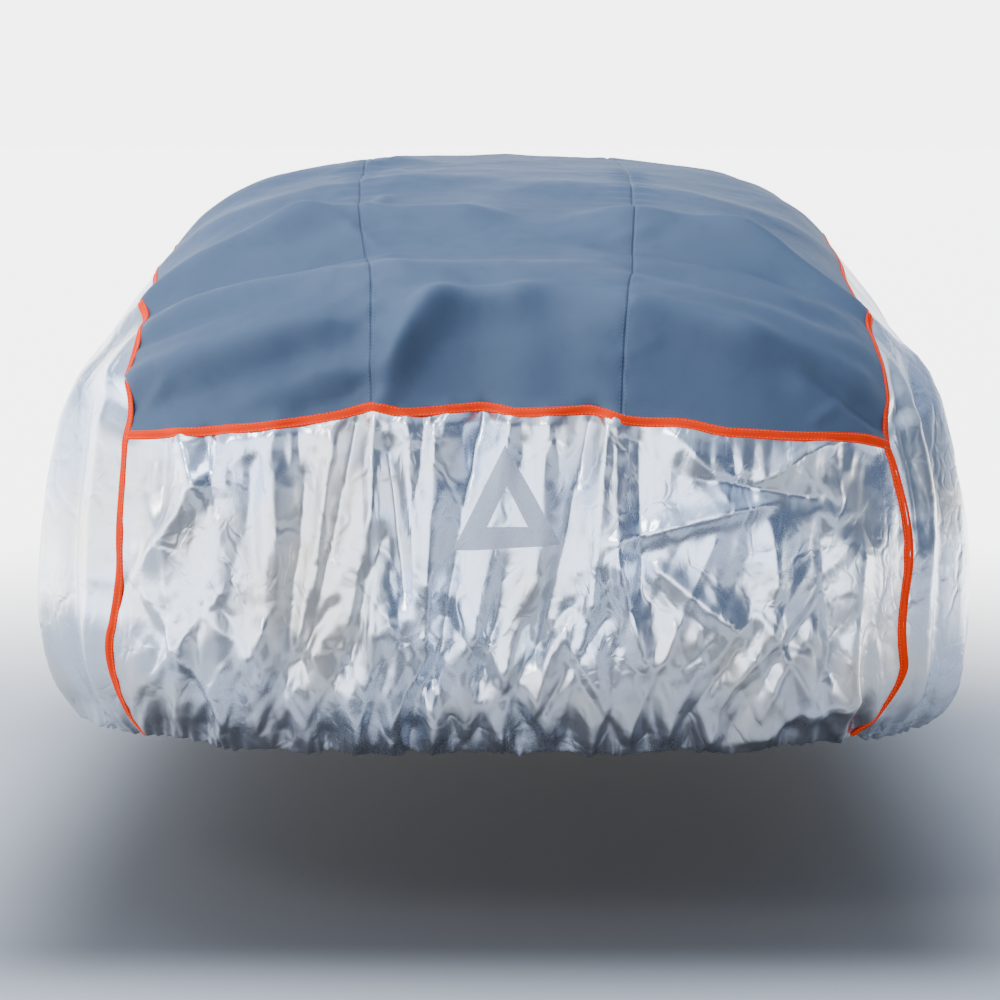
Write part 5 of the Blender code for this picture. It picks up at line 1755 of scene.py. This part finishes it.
class ShaderNodes:
    """Makes a material's nodes."""

    def __init__(self, owner: Material | bpy.types.World) -> None:
        """Starts the nodes of a material or of the surroundings.

        Args:
            owner: What the nodes are for.
        """
        self.owner = owner
        owner.use_nodes = True
        self.tree = owner.node_tree
        self.tree.nodes.clear()

    @classmethod
    def material(cls, name: str) -> ShaderNodes:
        """Starts a new material."""
        return cls(bpy.data.materials.new(name))

    def add(
        self,
        kind: str,
        settings: dict[str, object] | None = None,
        values: dict[int | str, object] | None = None,
        output: int | str = 0,
    ) -> Wire:
        """Adds a node.

        Args:
            kind: The node's type.
            settings: Its settings, which are set first.
            values: Numbers, colours or links for its sockets.
            output: Which of its outputs to return.

        Returns:
            The output.
        """
        node = self.tree.nodes.new(kind)
        for name, value in (settings or {}).items():
            setattr(node, name, value)
        for key, value in (values or {}).items():
            if isinstance(value, Wire):
                self.tree.links.new(value.socket, node.inputs[key])
            else:
                node.inputs[key].default_value = value
        return Wire(self, node.outputs[output])

    def object_place(self, scale: tuple[float, float, float] = (1, 1, 1)) -> Wire:
        """Returns places on the object, stretched."""
        place = self.add("ShaderNodeTexCoord", output="Object")
        return self.add("ShaderNodeMapping", None, {"Vector": place, "Scale": scale})

    def cloth_place(self) -> tuple[Wire, Wire]:
        """Returns the distances across and along the cloth."""
        spread = self.add("ShaderNodeUVMap", {"uv_map": "cloth"})
        split = self.add("ShaderNodeSeparateXYZ", None, {0: spread})
        return split, Wire(self, split.socket.node.outputs[1])

    def noise(self, place: Wire, scale: float, detail: float = 3.0, output: int = 0) -> Wire:
        """Returns a cloudy pattern about 0.5."""
        sockets = {"Vector": place, "Scale": scale, "Detail": detail}
        return self.add("ShaderNodeTexNoise", None, sockets, output)

    def cells(self, place: Wire, scale: float, feature: str = "DISTANCE_TO_EDGE") -> Wire:
        """Returns a pattern of cells."""
        sockets = {"Vector": place, "Scale": scale}
        return self.add("ShaderNodeTexVoronoi", {"feature": feature}, sockets)

    def blend(self, share: Wire | float, first: Wire | Colour, second: Wire | Colour) -> Wire:
        """Mixes two colours."""
        sockets = {0: share, 6: first, 7: second}
        return self.add("ShaderNodeMix", {"data_type": "RGBA"}, sockets, 2)

    def bump(self, height: Wire, distance: float, strength: float, *under: Wire) -> Wire:
        """Turns heights into a surface normal, on top of another normal where one is given."""
        sockets = {"Height": height, "Distance": distance, "Strength": strength}
        return self.add("ShaderNodeBump", None, sockets | {"Normal": wire for wire in under})

    def finish(self, **values: object) -> Material:
        """Adds the surface shader with its values and ends the material."""
        named = {key.replace("_", " "): value for key, value in values.items()}
        surface = self.add("ShaderNodeBsdfPrincipled", None, named)
        end = self.tree.nodes.new("ShaderNodeOutputMaterial")
        self.tree.links.new(surface.socket, end.inputs["Surface"])
        return self.owner


@dataclass(frozen=True)
class SilverFilm:
    """Thin metallic film with fine creases, a dull bloom, and painted shade with some dust near the
    hem.
    """

    clean: Colour = colour(219, 228, 243)
    dull: Colour = colour(229, 224, 214)
    # Darker towards the hem: mostly painted shade for the dark ground the film reflects there,
    # partly dust.
    hem_dust_and_shade: Colour = colour(186, 189, 197)
    hem_dust_and_shade_heights: Pair = (-1.07, -0.86)
    crease_scale: float = 11.0
    grain_scale: float = 420.0
    roughness: float = 0.27

    def make(self) -> Material:
        """Makes the material."""
        made = ShaderNodes.material("silver_film_crinkled")
        place = made.object_place()
        drawn = made.object_place((1.0, 1.0, 0.5))
        warp = made.noise(place, 7.0, 3.0, 1)
        sockets = {0: warp, 1: (0.12,) * 3, 2: drawn}
        bent = made.add("ShaderNodeVectorMath", {"operation": "MULTIPLY_ADD"}, sockets)
        cloud = made.noise(place, 4.0, 4.0)
        patches = made.noise(place, 6.5, 2.0).between(0.42, 0.62)
        wide = made.cells(bent, self.crease_scale).between(0.0, 0.1)
        narrow = made.cells(bent, 2.8 * self.crease_scale).between(0.0, 0.16)
        grain = made.noise(place, self.grain_scale, 2.0)
        normal = made.bump(wide + 0.5 * patches * narrow, 0.0018, 0.38)
        normal = made.bump(made.noise(bent, 22.0, 3.0), 0.006, 0.22, normal)
        normal = made.bump(grain, 0.0002, 0.25, normal)
        bloom = cloud.between(0.35, 0.72)
        shade = made.blend(bloom, self.clean, self.dull)
        # Painted shade with some dust: the film is darkened towards the hem.
        height = made.add("ShaderNodeSeparateXYZ", None, {0: place}, 2)
        low = 1.0 - (height + 0.12 * (cloud - 0.5)).between(*self.hem_dust_and_shade_heights)
        shade = made.blend(low * (0.7 + 0.6 * (cloud - 0.5)), shade, self.hem_dust_and_shade)
        rough = self.roughness + 0.07 * bloom + 0.08 * (grain - 0.5)
        return made.finish(Base_Color=shade, Metallic=1.0, Roughness=rough, Normal=normal)


@dataclass(frozen=True)
class PaddedGrey:
    """Blue-grey foam-backed cloth with a fine nap."""

    shade: Colour = colour(69, 84, 105)
    dusty: Colour = colour(77, 92, 113)
    worn: Colour = colour(61, 75, 94)
    deep: Colour = colour(46, 61, 80)

    def make(self) -> Material:
        """Makes the material."""
        made = ShaderNodes.material("padded_grey_nap")
        place = made.object_place()
        cloud = made.noise(place, 3.4, 5.0)
        patchy = made.noise(place, 26.0, 4.0)
        nap = made.noise(place, 900.0, 2.0)
        pores = made.cells(place, 520.0, "F1")
        tone = made.blend(cloud.between(0.3, 0.7), self.shade, self.dusty)
        tone = made.blend(0.35 * patchy.between(0.5, 0.8), tone, self.worn)
        tone = made.blend(0.22 * nap.between(0.35, 0.7), tone, self.deep)
        normal = made.bump(cloud + 0.4 * patchy, 0.006, 0.25)
        normal = made.bump(nap + 0.5 * pores, 0.0005, 0.45, normal)
        return made.finish(
            Base_Color=tone, Roughness=0.62 + 0.16 * (patchy - 0.5), Normal=normal,
            Sheen_Weight=0.04, Sheen_Roughness=0.4, Sheen_Tint=(0.65, 0.8, 1.0, 1.0),
            Specular_IOR_Level=0.18,
        )


@dataclass(frozen=True)
class OrangeTape:
    """Woven binding tape, ribbed across, with tidy edges."""

    bright: Colour = (0.92, 0.036, 0.0, 1.0)
    deep: Colour = (0.8, 0.024, 0.0, 1.0)
    # Painted shade for the hollows between the ribs.
    hollow: Colour = colour(176, 34, 0)
    rib_pitch: float = 0.0011
    yarn_pitch: float = 0.0014

    def make(self) -> Material:
        """Makes the material."""
        made = ShaderNodes.material("orange_tape_ribbed")
        across, along = made.cloth_place()
        ribs = (along * (2 * math.pi / self.rib_pitch)).sine() * 0.5 + 0.5
        yarns = (across * (2 * math.pi / self.yarn_pitch)).sine() * 0.5 + 0.5
        place = made.object_place()
        cloud = made.noise(place, 14.0, 4.0)
        fuzz = made.noise(place, 1400.0, 2.0)
        tone = made.blend(cloud.between(0.3, 0.75), self.bright, self.deep)
        # Painted shade: the tape is darker in the hollows between its ribs.
        tone = made.blend(0.35 * (1.0 - ribs) * (0.6 + 0.4 * yarns), tone, self.hollow)
        normal = made.bump(ribs * 0.7 + yarns * 0.3 + 0.5 * fuzz, 0.0003, 0.6)
        rough = 0.58 + 0.2 * (fuzz - 0.5)
        return made.finish(Base_Color=tone, Roughness=rough, Normal=normal, Specular_IOR_Level=0.04)


@dataclass(frozen=True)
class TwistedThread:
    """Sewing thread with a fine twist."""

    name: str
    shade: Colour

    def make(self) -> Material:
        """Makes the material."""
        made = ShaderNodes.material(self.name)
        place = made.object_place()
        twist = made.noise(place, 1600.0, 2.0)
        tone = made.blend(0.3 * twist, self.shade, (*(0.6 * v for v in self.shade[:3]), 1.0))
        rough = 0.55 + 0.2 * (twist - 0.5)
        return made.finish(Base_Color=tone, Roughness=rough, Normal=made.bump(twist, 0.0002, 0.4))


@dataclass(frozen=True)
class ReflectiveGrey:
    """Grey retro-reflective film with its fine honeycomb of cells."""

    field_shade: Colour = colour(184, 189, 202)
    line_shade: Colour = colour(162, 167, 180)
    worn: Colour = colour(158, 163, 176)

    def make(self) -> Material:
        """Makes the material."""
        made = ShaderNodes.material("reflective_grey_cells")
        place = made.object_place()
        comb = made.cells(place, 330.0).between(0.02, 0.16)
        cloud = made.noise(place, 22.0, 4.0)
        tone = made.blend(comb, self.line_shade, self.field_shade)
        tone = made.blend(0.3 * cloud.between(0.45, 0.75), tone, self.worn)
        normal = made.bump(comb, 0.0003, 0.3, made.bump(cloud, 0.004, 0.25))
        rough = 0.58 + 0.1 * (cloud - 0.5)
        return made.finish(Base_Color=tone, Roughness=rough, Normal=normal, Specular_IOR_Level=0.25)


@dataclass(frozen=True)
class FleeceLining:
    """Soft off-white fleece inside the cover."""

    shade: Colour = colour(214, 212, 206)
    hollow: Colour = colour(178, 176, 170)
    worn: Colour = colour(196, 192, 184)

    def make(self) -> Material:
        """Makes the material."""
        made = ShaderNodes.material("fleece_lining")
        place = made.object_place()
        curl = made.noise(place, 380.0, 5.0)
        cloud = made.noise(place, 6.0, 3.0)
        tone = made.blend(0.4 * curl, self.shade, self.hollow)
        tone = made.blend(0.25 * cloud, tone, self.worn)
        return made.finish(
            Base_Color=tone, Roughness=0.92 + 0.1 * (curl - 0.5),
            Normal=made.bump(curl, 0.0015, 0.7), Sheen_Weight=0.4,
        )


# ---- Studio ----


@dataclass(frozen=True)
class Studio:
    """A pale floor with a painted shadow and a painted glow, soft lights all round and the camera
    at the photograph's angle.
    """

    distance: float = 4.7243
    eye_height: float = 1.4733
    lens: float = 98.086
    sensor_width: float = 36.0
    pitch: float = 7.6
    floor_reach: float = 400.0
    floor_centre: float = -2.2
    low_light: Colour = (3.25, 3.5, 3.95, 1.0)
    high_light: Colour = (0.85, 1.05, 1.4, 1.0)
    shade_light: Colour = (0.1, 0.14, 0.23, 1.0)
    back_light: Colour = (5.2, 5.2, 5.2, 1.0)
    # Colour of the painted shadow on the floor, also used for a faint mottle.
    painted_shadow_and_mottle: Colour = colour(84, 84, 87)
    pale_floor: Colour = colour(196, 196, 198)
    lamp_aim: tuple[float, float, float] = (0.0, 0.0, -0.6)

    def build(self) -> None:
        """Sets up floor, light and camera."""
        self.lay_floor()
        self.light_sky()
        for name, place, size, power, tint in (
            ("key", (-4.2, -6.5, 4.2), 2.2, 270.0, (1.0, 0.98, 0.95)),
            ("overhead", (-0.8, -1.4, 2.9), 3.0, 150.0, (0.8, 0.9, 1.0)),
        ):
            self.place_lamp(name, place, size, power, tint)
        self.place_camera()

    def lay_floor(self) -> None:
        """Lays the pale floor: painted shadow under and ahead of the cover, painted glow far off.
        """
        parts = MeshParts()
        edge = np.array([-self.floor_reach, self.floor_reach])
        x, y = np.meshgrid(edge, edge)
        corners = np.stack([x, y, np.full((2, 2), -MOUNT_HEIGHT)], axis=-1)
        numbers = parts.add_points(corners, np.zeros(2))
        parts.add_grid(numbers, True)
        made = ShaderNodes.material("studio_floor")
        place = made.object_place()
        x, y = (made.add("ShaderNodeSeparateXYZ", None, {0: place}, k) for k in (0, 1))
        away = (1.7 * x * x + (y - self.floor_centre) * (y - self.floor_centre)) ** 0.5
        aside = x.size()
        # Painted shadow: the floor is darker under the cover and ahead of its near end.
        under = y.between(-2.5, -2.05) * (1.0 - y.between(-0.5, 1.5))
        under = (1.0 - aside.between(0.7, 1.3)) * under
        ahead = (1.0 - aside.between(0.9, 1.8)) * (1.0 - y.between(-3.05, -2.7))
        tone = made.blend(under + ahead, self.pale_floor, self.painted_shadow_and_mottle)
        # A faint random mottle in the same dark colour.
        tone = made.blend(0.1 * made.noise(place, 3.0, 3.0), tone, self.painted_shadow_and_mottle)
        # Painted glow: far from the cover the floor gives off light and its own colour goes black;
        # the glow is dimmed to the right ahead of the cover, a painted shade.
        shaded = 0.85 * x.between(0.4, 2.2) * (1.0 - y.between(-3.0, -1.0))
        far = away.between(2.4, 6.2) * (1.0 - shaded)
        tone = made.blend(far, tone, BLACK)
        light = made.blend(y.between(-3.0, 0.0), self.low_light, self.back_light)
        glow = made.blend(far, BLACK, light)
        floor = made.finish(
            Base_Color=tone, Roughness=0.8, Emission_Color=glow, Emission_Strength=1.0
        )
        parts.make("studio_floor", (floor,), smooth=False)

    def light_sky(self) -> None:
        """Lights the surroundings: bright at the left, shaded to the right, pale behind."""
        sky = ShaderNodes(bpy.data.worlds.new("studio_sky"))
        bpy.context.scene.world = sky.owner
        place = sky.add("ShaderNodeTexCoord", output="Generated")
        x, y, z = (sky.add("ShaderNodeSeparateXYZ", None, {0: place}, k) for k in range(3))
        bright = sky.blend(z.between(0.12, 0.55), self.low_light, self.high_light)
        shaded = x.between(0.02, 0.36) * (1.0 - 0.3 * y.between(-0.15, 0.5))
        shaded = shaded * (1.0 - 0.75 * z.between(0.35, 0.95))
        light = sky.blend(shaded, bright, self.shade_light)
        behind = y.between(0.55, 0.9) * (1.0 - z.between(0.1, 0.4))
        behind = behind * (1.0 - 0.85 * x.between(0.2, 0.42))
        light = sky.blend(behind, light, self.back_light)
        ground = sky.add("ShaderNodeBackground", None, {"Color": light, "Strength": 1.0})
        end = sky.tree.nodes.new("ShaderNodeOutputWorld")
        sky.tree.links.new(ground.socket, end.inputs["Surface"])

    def place_lamp(
        self, name: str, place: tuple[float, float, float], size: float, power: float,
        tint: tuple[float, float, float],
    ) -> None:
        """Hangs a soft square lamp that faces the cover.

        Args:
            name: The lamp's name.
            place: Where it hangs.
            size: Length of its side.
            power: Its power in watts.
            tint: Its colour.
        """
        lamp = bpy.data.lights.new(name, "AREA")
        lamp.shape, lamp.size, lamp.energy, lamp.color = "SQUARE", size, power, tint
        held = placed(name, lamp)
        held.location = place
        aim = Vector(self.lamp_aim) - Vector(place)
        held.rotation_euler = aim.to_track_quat("-Z", "Y").to_euler()

    def place_camera(self) -> None:
        """Places the camera straight out from the near end, looking slightly down."""
        camera = bpy.data.cameras.new("camera")
        camera.lens, camera.sensor_width = self.lens, self.sensor_width
        camera.clip_end = 2.5 * self.floor_reach
        held = placed("camera", camera)
        held.location = (0.0, -MOUNT_SETBACK - self.distance, self.eye_height - MOUNT_HEIGHT)
        held.rotation_euler = (math.radians(90.0 - self.pitch), 0.0, 0.0)
        bpy.context.scene.camera = held


# ---- The cover ----


class CarCover:
    """The whole cover: cloths, tapes, patch and stitches."""

    side_step = 0.008
    cross_step = 0.006
    tape_stitches = (0.0062, 0.0004, 0.0068)  # distance from the middle, lift and pitch
    width_stitches = (0.0045, 0.0003, 0.0075)

    def __init__(self) -> None:
        """Finds the form and makes the finishes."""
        self.strip = Strip(DrapedForm())
        self.sampler = StripSampler(self.strip, CoverFolds(self.strip))
        self.film, self.foam = SilverFilm().make(), PaddedGrey().make()
        self.tape, self.lining = OrangeTape().make(), FleeceLining().make()
        self.patch = ReflectiveGrey().make()
        self.grey_thread = TwistedThread("grey_thread", colour(98, 114, 136)).make()
        self.orange_thread = TwistedThread("orange_thread", colour(255, 140, 70)).make()
        self.cloths: list[Cloth] = []

    def build(self) -> None:
        """Builds every piece and logs it."""
        for maker, outside in self.makers():
            piece, cloth = maker.build(outside, self.lining)
            self.cloths.append(cloth)
            LOG.info("%s: %d faces", piece.name, len(piece.data.polygons))
        bed = ClothBed(self.cloths)
        tapes = self.bindings()
        for binding in tapes:
            binding.build(bed, self.tape)
        ReflectiveTriangle().build(bed, self.patch)
        self.sew(bed, tapes)

    def makers(self) -> list[tuple[FoilEndPanel | FoamWidth | FoilSidePanel, Material]]:
        """The cloths' makers, each with the material of its outside."""
        sampler, film, foam = self.sampler, self.film, self.foam
        return [
            (FoilEndPanel("near_end_panel", sampler, True, 6, 8, (1.62, 0.72), 1.05), film),
            (FoilEndPanel("far_end_panel", sampler, False, 4, 5, (1.5, 0.46), 0.58), film),
            (FoamWidth("padded_top_left", sampler, 0, (0.45, 4.75)), foam),
            (FoamWidth("padded_top_centre", sampler, 1, (0.55, 4.75)), foam),
            (FoamWidth("padded_top_right", sampler, 2, (0.46, 4.75)), foam),
            (FoilSidePanel("side_panel_left", sampler, -1, (4.9, 0.92), 3.7), film),
            (FoilSidePanel("side_panel_right", sampler, 1, (4.9, 0.92), 3.7), film),
        ]

    def bindings(self) -> list[Binding]:
        """The four tapes: two from hem to hem over the side seams, two over the cross seams."""
        points, ways = self.strip.points, self.strip.normals
        near, far = self.strip.seam_rows
        side, cross = self.side_step, self.cross_step
        return [
            Binding("left_side_binding", SeamLine.read(points[:, 0], ways[:, 0], side), True),
            Binding("right_side_binding", SeamLine.read(points[:, -1], ways[:, -1], side), True),
            Binding("near_cross_binding", SeamLine.read(points[near], ways[near], cross), False),
            Binding("far_cross_binding", SeamLine.read(points[far], ways[far], cross), False),
        ]

    def sew(self, bed: ClothBed, tapes: Sequence[Binding]) -> None:
        """Sews the tapes down and the padded widths together.

        Args:
            bed: The cloths.
            tapes: The tapes.
        """
        away, lift, pitch = self.tape_stitches
        lines = []
        for binding in tapes:
            for side in (-away, away):
                lines.append(binding.line.beside(bed, side, binding.lift + lift, binding.calm))
        StitchTree(self.orange_thread).sew("tape_stitches", lines, {"Pitch": pitch}, "orange_tape")
        away, lift, pitch = self.width_stitches
        near, far = self.strip.seam_rows
        lines = []
        for seam in (1, 2):
            part = (slice(near, far + 1), seam * self.strip.width_cells)
            points, ways = self.strip.points[part], self.strip.normals[part]
            line = SeamLine.read(points, ways, self.cross_step)
            lines += [line.beside(bed, side, lift, 0) for side in (-away, away)]
        StitchTree(self.grey_thread).sew("width_stitches", lines, {"Pitch": pitch}, "padded_grey")


def main() -> None:
    """Builds the cover in its studio."""
    logging.basicConfig(level=logging.INFO, format="%(name)s: %(message)s")
    CarCover().build()
    Studio().build()


if __name__ == "__main__":
    main()
